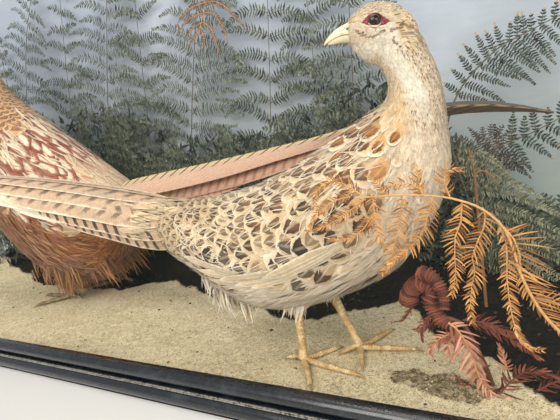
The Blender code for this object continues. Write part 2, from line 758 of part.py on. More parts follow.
def make_posts(group, ebony):
    low, high = FRONT_RAIL_HEIGHT + GAP, CASE_HEIGHT - TOP_RAIL_HEIGHT - GAP
    left, right = INNER_LEFT - GLASS - GAP, INNER_RIGHT + GLASS + GAP
    front = INNER_FRONT - GLASS - GAP
    inset = 2 * MM
    slim = POST - inset - GAP
    for word, x0, x1 in (("left", left - slim, left), ("right", right, right + slim)):
        front_post = box(f"case_post_front_{word}", (x0, front - slim, low), (x1, front - GAP, high), group, ebony)
        back_post = box(f"case_post_back_{word}", (x0, INNER_BACK - 4 * MM, low), (x1, CASE_DEPTH / 2, high),
                        group, ebony)
        for post in (front_post, back_post):
            ease = post.modifiers.new("Eased edges", "BEVEL")
            ease.width = 1.2 * MM
            ease.segments = 1


def make_panes(group, finishes):
    low, high = BASE_BOARD + GAP, CASE_HEIGHT - 3 * MM
    left, right = INNER_LEFT - GLASS, INNER_RIGHT + GLASS
    front = INNER_FRONT - GLASS
    box("case_glass_front", (left + GAP, front + GAP / 2, low), (right - GAP, INNER_FRONT, high - GLASS - GAP),
        group, finishes["glass"])
    for word, x0, x1 in (("left", left + GAP, INNER_LEFT), ("right", INNER_RIGHT, right - GAP)):
        box("case_glass_" + word, (x0, INNER_FRONT + GAP, low), (x1, INNER_BACK - GAP, high - GLASS - GAP),
            group, finishes["glass"])
    box("case_glass_top", (left + GAP, front + GAP, high - GLASS), (right - GAP, INNER_BACK - GAP, high),
        group, finishes["glass"])


def make_case(group, finishes):
    left, right = INNER_LEFT - GLASS + GAP, INNER_RIGHT + GLASS - GAP
    front = INNER_FRONT - GLASS + GAP
    box("case_base", (left, front, 0), (right, INNER_BACK - GAP, BASE_BOARD), group, finishes["pine"])
    box("case_backboard", (left, INNER_BACK, 0), (right, CASE_DEPTH / 2, CASE_HEIGHT - 1 * MM), group,
        finishes["painted_board"])
    make_rails(group, finishes["ebony"])
    make_posts(group, finishes["ebony"])
    make_panes(group, finishes)


def main():
    clear_scene()
    shown = collection("taxidermy_pheasant")
    tools = collection("cutters", hidden=True)
    finishes = {
        "plumage": material("hen plumage", (0.66, 0.52, 0.36), 0.8),
        "cock": material("cock plumage", (0.42, 0.22, 0.12), 0.7),
        "horn": material("horn", (0.70, 0.58, 0.38), 0.45),
        "scales": material("leg scales", (0.60, 0.44, 0.22), 0.5),
        "glass_eye": material("glass eye", (0.10, 0.05, 0.02), 0.05),
        "dry_fern": material("dry bracken", (0.62, 0.33, 0.12), 0.8),
        "dark_fern": material("dark bracken", (0.12, 0.13, 0.10), 0.8),
        "sand": material("sand", (0.60, 0.50, 0.32), 0.95),
        "ebony": material("ebonised wood", (0.02, 0.022, 0.028), 0.35),
        "pine": material("pine board", (0.45, 0.30, 0.16), 0.7),
        "painted_board": material("painted board", (0.55, 0.60, 0.68), 0.8),
        "glass": material("case glass", (0.9, 0.95, 0.95), 0.03, alpha=0.2),
    }
    make_case(shown, finishes)
    make_floor(shown, finishes["sand"])
    make_ferns(shown, tools, finishes)
    make_hen(shown, tools, finishes)
    make_cock(shown, tools, finishes["cock"])


main()
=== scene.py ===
from math import atan2, copysign, cos, degrees, hypot, pi, radians, sin, sqrt

import bmesh
import bpy
import numpy as np
from mathutils import Matrix, Vector
from mathutils.bvhtree import BVHTree


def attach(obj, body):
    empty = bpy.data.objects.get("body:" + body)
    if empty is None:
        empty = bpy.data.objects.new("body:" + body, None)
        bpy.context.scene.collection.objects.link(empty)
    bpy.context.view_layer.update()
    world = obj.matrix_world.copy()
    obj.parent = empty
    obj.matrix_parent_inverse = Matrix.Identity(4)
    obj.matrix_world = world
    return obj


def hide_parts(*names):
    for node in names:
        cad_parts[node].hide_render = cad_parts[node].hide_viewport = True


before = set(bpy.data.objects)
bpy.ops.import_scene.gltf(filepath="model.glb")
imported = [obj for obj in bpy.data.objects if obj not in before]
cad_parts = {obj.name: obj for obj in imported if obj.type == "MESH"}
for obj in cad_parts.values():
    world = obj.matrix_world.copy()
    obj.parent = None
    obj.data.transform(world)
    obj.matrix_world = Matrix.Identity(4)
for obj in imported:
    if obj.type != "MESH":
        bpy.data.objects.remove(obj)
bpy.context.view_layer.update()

mm = 0.001
fullTurn = 2 * pi


# ---- small tools ----

def rgb(text):
    # a colour written as six hex digits, made linear
    parts = [int(text[k:k + 2], 16) / 255 for k in (0, 2, 4)]
    return tuple(p / 12.92 if p <= 0.04045 else ((p + 0.055) / 1.055) ** 2.4 for p in parts)


def addObject(name, mesh, finish=None):
    made = bpy.data.objects.new(name, mesh)
    bpy.context.scene.collection.objects.link(made)
    if finish is not None:
        mesh.materials.clear()
        mesh.materials.append(finish)
    return made


def meshFrom(name, points, faces, smoothAngle=50):
    mesh = bpy.data.meshes.new(name)
    mesh.from_pydata(np.asarray(points, float).tolist(), [], [list(map(int, f)) for f in faces])
    mesh.shade_smooth()
    mesh.set_sharp_from_angle(angle=radians(smoothAngle))
    return mesh


def fromBmesh(name, shape):
    mesh = bpy.data.meshes.new(name)
    shape.to_mesh(mesh)
    shape.free()
    return mesh


def outward(mesh):
    tidy = bmesh.new()
    tidy.from_mesh(mesh)
    bmesh.ops.recalc_face_normals(tidy, faces=tidy.faces)
    tidy.to_mesh(mesh)
    tidy.free()
    return mesh


def onPoints(mesh, name, values, kind="FLOAT"):
    # a number or a vector on every point of a mesh
    layer = mesh.attributes.new(name, kind, "POINT")
    layer.data.foreach_set("vector" if kind == "FLOAT_VECTOR" else "value",
                           np.ascontiguousarray(values, np.float32).ravel())


def readPoints(mesh):
    # the points of a mesh and their normals
    rows = np.empty((2, len(mesh.vertices) * 3))
    mesh.vertices.foreach_get("co", rows[0])
    mesh.vertex_normals.foreach_get("vector", rows[1])
    return rows[0].reshape(-1, 3), rows[1].reshape(-1, 3)


def vec(*parts):
    return np.array(parts, float)


def unit(way):
    return way / np.linalg.norm(way)


def turns(count):
    # equal steps round a circle
    return np.linspace(0, fullTurn, count, endpoint=False)


def ringAt(centre, first, second, count):
    # an ellipse of points, from its centre and its two half axes
    a = turns(count)[:, None]
    return np.asarray(centre) + np.asarray(first) * np.cos(a) + np.asarray(second) * np.sin(a)


def keepLoft(name, rings, finish, slot="hen_plumage", *nodes):
    return keep(addObject(name, loftMesh(name, rings), finish), slot, *nodes)


def tubeFaces(n, m, start=0):
    # the faces of a closed tube of n rings with m points each
    last = start + (n - 1) * m
    faces = [(a + j, a + (j + 1) % m, a + m + (j + 1) % m, a + m + j)
             for a in range(start, last, m) for j in range(m)]
    return faces + [tuple(range(start + m - 1, start - 1, -1)), tuple(range(last, last + m))]


def loftMesh(name, rings, smoothAngle=60):
    points = np.concatenate([np.asarray(r, float) for r in rings])
    return outward(meshFrom(name, points, tubeFaces(len(rings), len(rings[0])), smoothAngle))


def evaluated(obj):
    # the object's mesh with its modifiers applied, and the object itself removed
    bpy.context.view_layer.update()
    ready = obj.evaluated_get(bpy.context.evaluated_depsgraph_get())
    mesh = bpy.data.meshes.new_from_object(ready)
    bpy.data.objects.remove(obj)
    return mesh


def keep(piece, slotName, *nodes):
    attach(piece, "root")
    if nodes:
        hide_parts(*nodes)
    return piece


def catmull(table, at):
    # rows of a table read at fractional row numbers
    rows = np.asarray(table, float)
    padded = np.vstack([2 * rows[0] - rows[1], rows, 2 * rows[-1] - rows[-2]])
    at = np.clip(np.asarray(at, float), 0, len(rows) - 1 - 1e-9)
    i = at.astype(int)
    f = (at - i)[..., None]
    a, b, c, d = padded[i], padded[i + 1], padded[i + 2], padded[i + 3]
    return 0.5 * (2 * b + (c - a) * f + (2 * a - 5 * b + 4 * c - d) * f**2 + (3 * b - a - 3 * c + d) * f**3)


def runLength(places):
    # how far each place of a path is from its start, in millimetres
    return np.concatenate([[0], np.cumsum(np.linalg.norm(np.diff(places, axis=0), axis=1))]) / mm


def ramp01(value, low, high):
    x = np.clip((np.asarray(value, float) - low) / (high - low), 0, 1)
    return x * x * (3 - 2 * x)


def wrap(angle):
    return (np.asarray(angle) + pi) % fullTurn - pi


def colourOf(colour):
    # the numbers of a colour given by them, by its name or by its hex digits
    if isinstance(colour, str):
        return colours[colour] if colour in colours else rgb(colour)
    return colour


def blendTo(first, share, second):
    share = np.asarray(share, float)[..., None]
    return np.asarray(colourOf(first)) * (1 - share) + np.asarray(colourOf(second)) * share


# ---- materials: a graph whose wires can be added and multiplied ----

class Wire:
    # one output of a graph; Wires take + - * / ** and abs
    def __init__(self, graph, socket):
        self.graph, self.socket = graph, socket

    def __rsub__(self, other):
        return self.graph.maths("SUBTRACT", other, self)


def operation(kind):
    return lambda first, *others: first.graph.maths(kind, first, *others)


for sign, kind in (("add", "ADD"), ("radd", "ADD"), ("sub", "SUBTRACT"), ("mul", "MULTIPLY"),
                   ("rmul", "MULTIPLY"),
                   ("truediv", "DIVIDE"), ("pow", "POWER"), ("abs", "ABSOLUTE")):
    setattr(Wire, "__" + sign + "__", operation(kind))


class Graph:
    def __init__(self, name, roughness=0.6, **sockets):
        self.material = bpy.data.materials.new(name)
        self.material.use_nodes = True
        self.tree = self.material.node_tree
        self.shader = self.tree.nodes["Principled BSDF"]
        self.shader.inputs["Roughness"].default_value = roughness
        for key, value in sockets.items():
            self.shader.inputs[key.replace("_", " ")].default_value = value

    def feed(self, socket, value):
        if isinstance(value, str) and socket.type == "RGBA":
            value = colourOf(value)
        if isinstance(value, Wire):
            self.tree.links.new(value.socket, socket)
        elif isinstance(value, tuple) and len(value) == 3 and socket.type == "RGBA":
            socket.default_value = (*value, 1.0)
        else:
            socket.default_value = value

    def node(self, kind, output, settings=(), feeds=(), **inputs):
        # feeds go to sockets by number, inputs by name
        made = self.tree.nodes.new(kind)
        for key, value in dict(settings).items():
            setattr(made, key, value)
        for key, value in [*dict(feeds).items(), *inputs.items()]:
            self.feed(made.inputs[key if isinstance(key, int) else key.replace("_", " ")], value)
        return Wire(self, made.outputs[output])

    def maths(self, kind, *values):
        return self.node("ShaderNodeMath", 0, {"operation": kind}, enumerate(values))

    def most(self, a, b):
        return self.maths("MAXIMUM", a, b)

    def step(self, value, low, high):
        return self.node("ShaderNodeMapRange", "Result", {"interpolation_type": "SMOOTHSTEP"}, Value=value,
                         From_Min=low, From_Max=high)

    def place(self):
        return self.node("ShaderNodeTexCoord", "Object")

    def split(self, vector):
        x = self.node("ShaderNodeSeparateXYZ", 0, (), {0: vector})
        return [Wire(self, x.socket.node.outputs[k]) for k in range(3)]

    def uv(self, name):
        return self.split(self.node("ShaderNodeUVMap", 0, {"uv_map": name}))[:2]

    def number(self, name, output="Fac"):
        return self.node("ShaderNodeAttribute", output, {"attribute_name": name})

    def stretched(self, vector, scale, turn=(0, 0, 0)):
        return self.node("ShaderNodeMapping", 0, Vector=vector, Scale=scale, Rotation=turn)

    def noise(self, where, scale, detail=3.0, rough=0.55, twist=0.0):
        return self.node("ShaderNodeTexNoise", "Fac", Vector=where, Scale=scale, Detail=detail,
                         Roughness=rough, Distortion=twist)

    def cells(self, where, scale, output="Distance", feature="F1"):
        return self.node("ShaderNodeTexVoronoi", output, {"feature": feature}, Vector=where, Scale=scale)

    def mix(self, share, first, second, blend="MIX"):
        settings = {"data_type": "RGBA", "blend_type": blend}
        return self.node("ShaderNodeMix", 2, settings, {0: share, 6: first, 7: second})

    def shade(self, colour, amount):
        # the colour made lighter or darker by a number around 1
        grey = self.node("ShaderNodeCombineColor", 0, (), {0: amount, 1: amount, 2: amount})
        return self.mix(1.0, colour, grey, "MULTIPLY")

    def relief(self, height, distance, strength=1.0):
        bump = self.node("ShaderNodeBump", 0, Strength=strength, Distance=distance, Height=height)
        self.feed(self.shader.inputs["Normal"], bump)

    def paint(self, colour):
        self.feed(self.shader.inputs["Base Color"], colour)
        return self.material


def grainy(name, roughness, scale, low, high, detail=3, relief=0.0, **sockets):
    # a finish that runs between two colours
    g = Graph(name, roughness, **sockets)
    grain = g.noise(g.place(), scale, detail)
    if relief:
        g.relief(grain, relief)
    return g.paint(g.mix(grain, low, high))


# ---- camera, lights and floor ----

view = {
    "eye": (0.4083, -0.3795, 0.2082),
    "azimuth": 31.0,
    "down": 12.0,
    "roll": -10.4,
    "lens": 28.93,
}


def addCamera():
    lens = bpy.data.cameras.new("camera")
    lens.sensor_width = 36
    lens.lens = view["lens"]
    lens.clip_start = 0.01
    camera = bpy.data.objects.new("camera", lens)
    bpy.context.scene.collection.objects.link(camera)
    turn = Matrix.Rotation(radians(view["azimuth"]), 4, "Z")
    turn = turn @ Matrix.Rotation(radians(90 - view["down"]), 4, "X")
    turn = turn @ Matrix.Rotation(radians(view["roll"]), 4, "Z")
    camera.matrix_world = Matrix.Translation(view["eye"]) @ turn
    bpy.context.scene.camera = camera


def addLight(name, place, target, size, power, colour):
    lamp = bpy.data.lights.new(name, "AREA")
    lamp.size = size
    lamp.energy = power
    lamp.color = colour
    made = bpy.data.objects.new(name, lamp)
    bpy.context.scene.collection.objects.link(made)
    made.location = place
    made.rotation_euler = (Vector(target) - Vector(place)).to_track_quat("-Z", "Y").to_euler()


studio = {
    "sky": (0.93, 0.96, 1.0, 1),
    "skyStrength": 0.48,
    # name, place, what it looks at, size, power, colour
    "lights": (
        ("keyLight", (0.10, -1.25, 1.0), (0.1, 0, 0.12), 1.0, 20, (1.0, 0.95, 0.88)),
        ("topLight", (0.15, -0.15, 1.6), (0.1, 0, 0), 1.0, 9, (1.0, 0.97, 0.92)),
        ("sideLight", (1.4, -0.8, 0.6), (0.2, 0, 0.12), 0.9, 11, (1.0, 0.97, 0.94)),
    ),
}


def addStudio():
    world = bpy.data.worlds.new("studio")
    world.use_nodes = True
    sky = world.node_tree.nodes["Background"]
    sky.inputs["Color"].default_value = studio["sky"]
    sky.inputs["Strength"].default_value = studio["skyStrength"]
    bpy.context.scene.world = world
    bpy.context.scene.view_settings.view_transform = "Standard"
    for light in studio["lights"]:
        addLight(*light)
    plane = bmesh.new()
    bmesh.ops.create_grid(plane, x_segments=1, y_segments=1, size=3)
    finish = grainy("paleFloor", 0.8, 900, "c9c8c4", "d2d1cd", 2)
    addObject("floor", fromBmesh("floor", plane), finish)


# ---- copies of one shape on points, as a Geometry Nodes tree ----

def copiesTree():
    tree = bpy.data.node_groups.new("copiesOnPoints", "GeometryNodeTree")
    for name, kind in (("Geometry", "Geometry"), ("Shape", "Object"), ("Finish", "Material"),
                       ("Uneven Size", "Float"), ("Uneven Turn", "Float"), ("Seed", "Int")):
        tree.interface.new_socket(name, in_out="INPUT", socket_type="NodeSocket" + kind)
    tree.interface.new_socket("Geometry", in_out="OUTPUT", socket_type="NodeSocketGeometry")

    def add(kind, feeds=(), **settings):
        made = tree.nodes.new(kind)
        for key, value in settings.items():
            setattr(made, key, value)
        for key, value in dict(feeds).items():
            if isinstance(value, bpy.types.NodeSocket):
                tree.links.new(value, made.inputs[key])
            else:
                made.inputs[key].default_value = value
        return made.outputs

    given = add("NodeGroupInput")
    shape = add("GeometryNodeObjectInfo", {"Object": given["Shape"]})
    # the turn of each copy: its own aim, plus an uneven part
    aim = add("GeometryNodeInputNamedAttribute", {"Name": "aim"}, data_type="FLOAT_VECTOR")
    wobble = add("FunctionNodeRandomValue", {"Min": (-1, -1, -1), "Max": (1, 1, 1), "Seed": given["Seed"]},
                 data_type="FLOAT_VECTOR")
    uneven = add("ShaderNodeVectorMath", {0: wobble["Value"], "Scale": given["Uneven Turn"]},
                 operation="SCALE")
    turn = add("ShaderNodeVectorMath", {0: aim["Attribute"], 1: uneven[0]})
    turn = add("FunctionNodeEulerToRotation", {0: turn[0]})
    # the size of each copy: its own, a little larger or smaller
    size = add("GeometryNodeInputNamedAttribute", {"Name": "size"}, data_type="FLOAT_VECTOR")
    spread = add("FunctionNodeRandomValue", {"Min": -1, "Max": 1, "Seed": given["Seed"]}, data_type="FLOAT")
    grow = add("ShaderNodeMath", {0: spread[1], 1: given["Uneven Size"], 2: 1}, operation="MULTIPLY_ADD")
    scaled = add("ShaderNodeVectorMath", {0: size["Attribute"], "Scale": grow[0]}, operation="SCALE")
    put = add("GeometryNodeInstanceOnPoints", {"Points": given["Geometry"], "Instance": shape["Geometry"],
                                               "Rotation": turn[0], "Scale": scaled[0]})
    real = add("GeometryNodeRealizeInstances", {0: put[0]})
    finish = add("GeometryNodeSetMaterial", {"Geometry": real[0], "Material": given["Finish"]})
    add("NodeGroupOutput", {0: finish[0]})
    return tree


copies = copiesTree()


def placeCopies(name, places, aims, sizes, tones, shape, finish, uneven=(0.15, 0.1), seed=1):
    points = bpy.data.meshes.new(name + "Points")
    points.from_pydata(np.asarray(places).tolist(), [], [])
    onPoints(points, "aim", aims, "FLOAT_VECTOR")
    onPoints(points, "size", sizes, "FLOAT_VECTOR")
    onPoints(points, "tone", tones)
    holder = addObject(name + "Holder", points)
    step = holder.modifiers.new("copies", "NODES")
    step.node_group = copies
    values = {"Shape": shape, "Finish": finish, "Uneven Size": uneven[0], "Uneven Turn": uneven[1],
              "Seed": seed}
    for item in copies.interface.items_tree:
        if item.in_out == "INPUT" and item.name in values:
            step[item.identifier] = values[item.name]
    mesh = evaluated(holder)
    mesh.name = name
    return mesh


def aimAlong(way, up):
    # Euler angles that turn +X to way and +Z near up
    way = np.asarray(way, float)
    x = Vector(way).normalized()
    y = Vector(up).cross(x)
    if y.length < 1e-6:
        y = Vector((0, 1, 0)).cross(x)
    y.normalize()
    z = x.cross(y)
    return tuple(Matrix((x, y, z)).transposed().to_euler())


# ---- bird bodies: sections that fan out in the bird's own upright plane ----

henShape = {
    "place": (0.2286, -0.0779),
    "heading": 8.0,
    "floor": 8.0,
    "head": (95.0, -7.5, 241.0),
    "headTurn": -163.0,
    "headPitch": 6.0,
    "eye": (5.0, 9.9, 4.6),
    # top x, top z, bottom x, bottom z, half width, shift: from the rump to the top of the neck
    "sections": [
        (-110, 142, -106, 95, 22, 0), (-80, 143, -76, 77, 35, 0), (-46, 144, -44, 53, 45, 0),
        (-12, 150, -10, 47, 50, 0), (24, 163, 26, 52, 51, 0), (54, 177, 66, 65, 50, 0),
        (72, 186, 97, 85, 45, 0), (83, 191, 119, 115, 39, 0), (89, 195, 131, 147, 32, -1),
        (93, 202, 131, 173, 26, -2), (93, 212, 130, 195, 21, -4), (89, 224, 127, 213, 18.5, -6),
        (88, 237, 120, 231, 17, -7),
    ],
}

cockShape = {
    "place": (0.108, 0.026),
    "heading": 183.5,
    "floor": 8.0,
    "sections": [
        (148, 132, 160, 104, 26, 0), (168, 151, 176, 66, 46, 0), (206, 183, 206, 28, 60, 0),
        (250, 220, 262, 16, 66, 0), (292, 255, 322, 34, 66, 0), (328, 285, 384, 96, 60, 0),
        (350, 309, 412, 176, 50, 0), (362, 337, 421, 250, 36, 0), (369, 365, 417, 315, 26, 0),
        (372, 393, 412, 362, 19, 0), (377, 419, 418, 385, 16, 0), (390, 436, 428, 396, 15.5, 0),
        (412, 439, 436, 401, 13.5, 0), (432, 426, 444, 409, 6.5, 0), (454, 417, 456, 407, 3.6, 0),
        (466, 409, 466, 404, 1.4, 0),
    ],
}


class Body:
    # a swept body: places by section number and angle, where 0 is the top and 90 degrees the bird's left
    def __init__(self, shape):
        self.sections = np.asarray(shape["sections"], float) * mm
        self.last = len(self.sections) - 1
        turn = Matrix.Rotation(radians(shape["heading"]), 4, "Z")
        self.frame = Matrix.Translation((*shape["place"], shape["floor"] * mm)) @ turn
        self.turn = np.array(self.frame.to_3x3())
        self.origin = np.array(self.frame.translation)

    def world(self, points):
        return np.asarray(points, float) @ self.turn.T + self.origin

    def placed(self, points):
        # the world places of points in the bird's own millimetres
        return self.world(np.asarray(points, float) * mm)

    def local(self, points):
        return (np.asarray(points, float) - self.origin) @ self.turn

    def at(self, along, angle, grow=0.0):
        along, angle = np.broadcast_arrays(*(np.atleast_1d(k).astype(float) for k in (along, angle)))
        rows = catmull(self.sections, along)
        top, bottom = rows[:, 0:2], rows[:, 2:4]
        middle, half = (top + bottom) / 2, (top - bottom) / 2
        length = np.linalg.norm(half, axis=1)
        half = half * ((length + grow) / length)[:, None]
        flat = middle + half * np.cos(angle)[:, None]
        across = rows[:, 5] + (rows[:, 4] + grow) * np.sin(angle)
        return self.world(np.stack([flat[:, 0], across, flat[:, 1]], 1))


henBody = Body(henShape)
cockBody = Body(cockShape)
headFrame = (henBody.frame @ Matrix.Translation(Vector(henShape["head"]) * mm)
             @ Matrix.Rotation(radians(henShape["headTurn"]), 4, "Z")
             @ Matrix.Rotation(radians(henShape["headPitch"]), 4, "Y"))
headTurn = np.array(headFrame.to_3x3())
headOrigin = np.array(headFrame.translation)


def headWorld(points):
    return np.asarray(points, float) * mm @ headTurn.T + headOrigin


def headWay(*way):
    # a direction in the head's own frame, turned into the world
    return headTurn @ np.array(way, float)


def headLocal(points):
    return (np.asarray(points, float) - headOrigin) @ headTurn / mm


class Surface:
    # nearest places on a mesh, with softened normals
    def __init__(self, mesh):
        mesh.calc_loop_triangles()
        self.points, self.normals = readPoints(mesh)
        faces = np.empty(len(mesh.loop_triangles) * 3, int)
        mesh.loop_triangles.foreach_get("vertices", faces)
        self.faces = faces.reshape(-1, 3)
        self.tree = BVHTree.FromPolygons(self.points.tolist(), self.faces.tolist())

    def near(self, place):
        found, _, index, _ = self.tree.find_nearest(place)
        corners = self.faces[index]
        apart = 1 / (np.linalg.norm(self.points[corners] - np.array(found), axis=1) + 1e-6)
        normal = (self.normals[corners] * apart[:, None]).sum(0)
        return np.array(found), unit(normal)


# ---- feathers: closed vanes laid over a surface ----

def vanePattern(alongSteps, acrossHalf, outline):
    # rows along the shaft with an odd number of points across, closed underneath
    t = np.linspace(-1, 1, 2 * acrossHalf + 1)
    n, m = len(alongSteps), len(t)
    faces = []
    for start in range(0, (n - 1) * m, m):
        faces += [(a, a + 1, a + m + 1, a + m) for a in range(start, start + m - 1)]
        faces.append((start, start + m, start + 2 * m - 1, start + m - 1))
    faces += [tuple(range(m)), tuple(range(n * m - 1, (n - 1) * m - 1, -1))]
    return {"s": np.repeat(np.array(alongSteps, float), m), "t": np.tile(t, n), "faces": faces,
            "count": n * m,
            "wide": np.repeat(np.array(outline, float), m)}


broadVane = vanePattern((0, 0.25, 0.5, 0.7, 0.85, 0.95, 1.0), 2, (0.35, 0.75, 0.97, 1.0, 0.85, 0.55, 0.16))
smallVane = vanePattern((0, 0.4, 0.75, 1.0), 1, (0.45, 1.0, 0.85, 0.18))
wispVane = vanePattern((0, 0.35, 0.7, 1.0), 1, (0.7, 1.0, 0.6, 0.08))
pointedVane = vanePattern((0, 0.25, 0.5, 0.72, 0.9, 1.0), 2, (0.4, 0.8, 1.0, 0.85, 0.42, 0.06))
longVane = vanePattern(np.linspace(0, 1, 13).tolist(), 2,
                       (0.25, 0.5, 0.75, 0.9, 1, 1, 1, 0.98, 0.95, 0.88, 0.74, 0.5, 0.14))


class Coat:
    # gathers feathers and turns them into one mesh
    def __init__(self, pattern, surface=None):
        self.pattern, self.surface = pattern, surface
        self.feathers = []

    def add(self, place, way, long, wide, rise, base=0.1, tone=0.5, mark=0.5, tint=(1, 1, 1),
            spot=(0.5, 0.5), sweep=0.0, camber=0.10, hangs=False):
        way = np.array(way, float)
        if hangs:
            found, normal = place, np.cross(way, (0.8, 0.5 * cos(40 * tone), 0.3))
            normal = unit(normal)
        else:
            found, normal = self.surface.near(place)
            way -= normal * (way @ normal)
        size = np.linalg.norm(way)
        if size < 1e-9:
            return
        way /= size
        side = np.cross(normal, way)
        s, t, w = (self.pattern[key] for key in ("s", "t", "wide"))
        out = t * w * wide / 2 + sweep * s**2 * long
        flat = found + way * (s * long * mm)[:, None] + side * (out * mm)[:, None]
        height = base + rise * s + camber * wide * w * (1 - t**2)
        made = []
        for spotOn, high in zip(flat, height):
            near, up = (spotOn, normal) if hangs else self.surface.near(spotOn)
            made.append(near + up * high * mm)
        self.feathers.append((made, tone, mark, colourOf(tint), spot))

    def piece(self, name, finish):
        pattern, n, count = self.pattern, len(self.feathers), self.pattern["count"]
        points, tones, marks, tints, spots = zip(*self.feathers)
        mesh = bpy.data.meshes.new(name)
        mesh.from_pydata(np.concatenate(points).tolist(), [],
                         [[v + k * count for v in f] for k in range(n) for f in pattern["faces"]])
        onPoints(mesh, "tone", np.repeat(tones, count))
        onPoints(mesh, "mark", np.repeat(np.asarray(marks, np.float32), count))
        layer = mesh.color_attributes.new("tint", "FLOAT_COLOR", "POINT")
        tints = np.hstack([np.asarray(tints), np.ones((n, 1))]).astype(np.float32)
        layer.data.foreach_set("color", np.repeat(tints, count, 0).ravel())
        corner = np.empty(len(mesh.loops), int)
        mesh.loops.foreach_get("vertex_index", corner)
        vane = np.stack([np.tile((pattern["t"] + 1) / 2, n), np.tile(pattern["s"], n)], 1)
        spots = np.repeat(np.asarray(spots, float), count, 0)
        for key, uv in (("vane", vane), ("OFBake", spots + (vane - 0.5) * 0.003)):
            layer = mesh.uv_layers.new(name=key)
            layer.data.foreach_set("uv", uv[corner].astype(np.float32).ravel())
        mesh.shade_smooth()
        mesh.set_sharp_from_angle(angle=radians(60))
        return addObject(name, mesh, finish)

    def done(self, name, look, slot="hen_plumage"):
        keep(self.piece(name, vaneFinish(name, look)), slot)
        print(" ", name, len(self.feathers), "feathers")


colours = {
    "cream": rgb("ecdabc"),
    "white": rgb("f1e7d0"),
    "buff": rgb("e3c592"),
    "pinkBuff": rgb("e2c7a4"),
    "orangeBuff": rgb("dda55c"),
    "brown": rgb("6a4526"),
    "greyBrown": rgb("a98f69"),
    "tan": rgb("c9ae83"),
}


def vaneFinish(name, look):
    # one feather's markings, drawn from its own coordinates: across 0 to 1, along 0 to 1
    g = Graph(name, look.get("roughness", 0.62), Sheen_Weight=look.get("sheen", 0.15),
              Sheen_Roughness=0.5, Specular_IOR_Level=look.get("gloss", 0.3))
    across, along = g.uv("vane")
    off = abs(across - 0.5) * 2
    tone, mark = g.number("tone"), g.number("mark")
    place = g.place()
    ragged = g.noise(place, look.get("ragged", 560), 2)
    mottle = g.noise(place, 300, 3, 0.65)
    colour = g.number("tint", "Color")
    frayed = off + (ragged - 0.5) * 0.45
    if "ground" in look:  # the middle of the vane
        tan, most = look["ground"]
        share = (1 - g.step(frayed, *look.get("groundWide", (0.55, 0.85)))) * (1 - g.step(along, 0.80, 0.95))
        colour = g.mix(share * most, colour, tan)
    if "bars" in look:  # bars that cross the vane
        number, lean, broken, dark = look["bars"]
        wave = g.maths("SINE", (along * number + off * lean + tone * 0.3) * fullTurn)
        share = g.step(wave + (ragged - 0.5) * 0.9, 0.1, 0.7) * mark
        share = share * (1 - g.step(off + (mottle - 0.5) * 0.5, *look.get("barWide", (0.86, 0.97))))
        share = share * (1 - broken * g.step(mottle + off * 0.25, 0.42, 0.62))
        colour = g.mix(share, colour, dark)
    if "spot" in look:  # the dark mark near the tip, parted by the pale shaft
        centre, long, wide, slant = look["spot"]
        inner, outer = look["spotColours"]
        lean = along - centre + off * slant
        reach = (off / wide) ** 2 + (lean / long) ** 2 + (ragged - 0.5) * 1.0 + (tone - 0.5) * 0.5
        dark = (1 - g.step(reach, 0.55, 1.05)) * mark
        rim = g.step(lean / long + reach * 0.5, -0.2, 1.1)
        colour = g.mix(dark, colour, g.mix(rim, inner, outer))
    if "edge" in look:  # the pale fringe
        pale, most = look["edge"]
        fringe = g.most(g.step(frayed, *look.get("edgeWide", (0.72, 1.0))),
                        g.step(along + (ragged - 0.5) * 0.12, 0.87, 0.98))
        colour = g.mix(fringe * most, colour, pale)
    if "shaft" in look:
        pale, most = look["shaft"]
        shaft = (1 - g.step(off, 0.05, 0.13)) * (1 - g.step(along, 0.75, 0.95))
        colour = g.mix(shaft * most, colour, pale)
    barbs = g.maths("SINE", (along * look.get("barbs", 22) - off * look.get("barbLean", 7)) * fullTurn)
    fine = g.noise(place, 2600, 2)
    shade = 0.80 + barbs * look.get("barbShade", 0.05) + (fine - 0.5) * 0.3 + tone * 0.22
    shade = shade + (mottle - 0.5) * look.get("mottle", 0.5)
    colour = g.shade(colour, shade + g.step(along, 0.2, 0.9) * 0.12)
    g.relief(barbs * 0.4 + fine * 0.6, 0.00022, 0.7)
    return g.paint(colour)


# ---- the skins that the feathers lie on ----

skinDepth = {"body": 3.2, "neck": 2.2, "head": 1.0, "thigh": 1.6, "voxel": 1.7, "join": 0.5}


def henSkinDepth(points):
    # how deep the skin lies under the outline, in millimetres
    local = henBody.local(points) / mm
    fromHead = np.linalg.norm(points - headOrigin, axis=1) / mm
    depth = np.full(len(points), skinDepth["body"])
    depth += (skinDepth["neck"] - skinDepth["body"]) * ramp01(local[:, 2], 165, 195)
    depth += (skinDepth["head"] - depth) * (1 - ramp01(fromHead, 24, 36))
    depth += (skinDepth["thigh"] - depth) * (1 - ramp01(local[:, 2], 48, 62))
    return depth


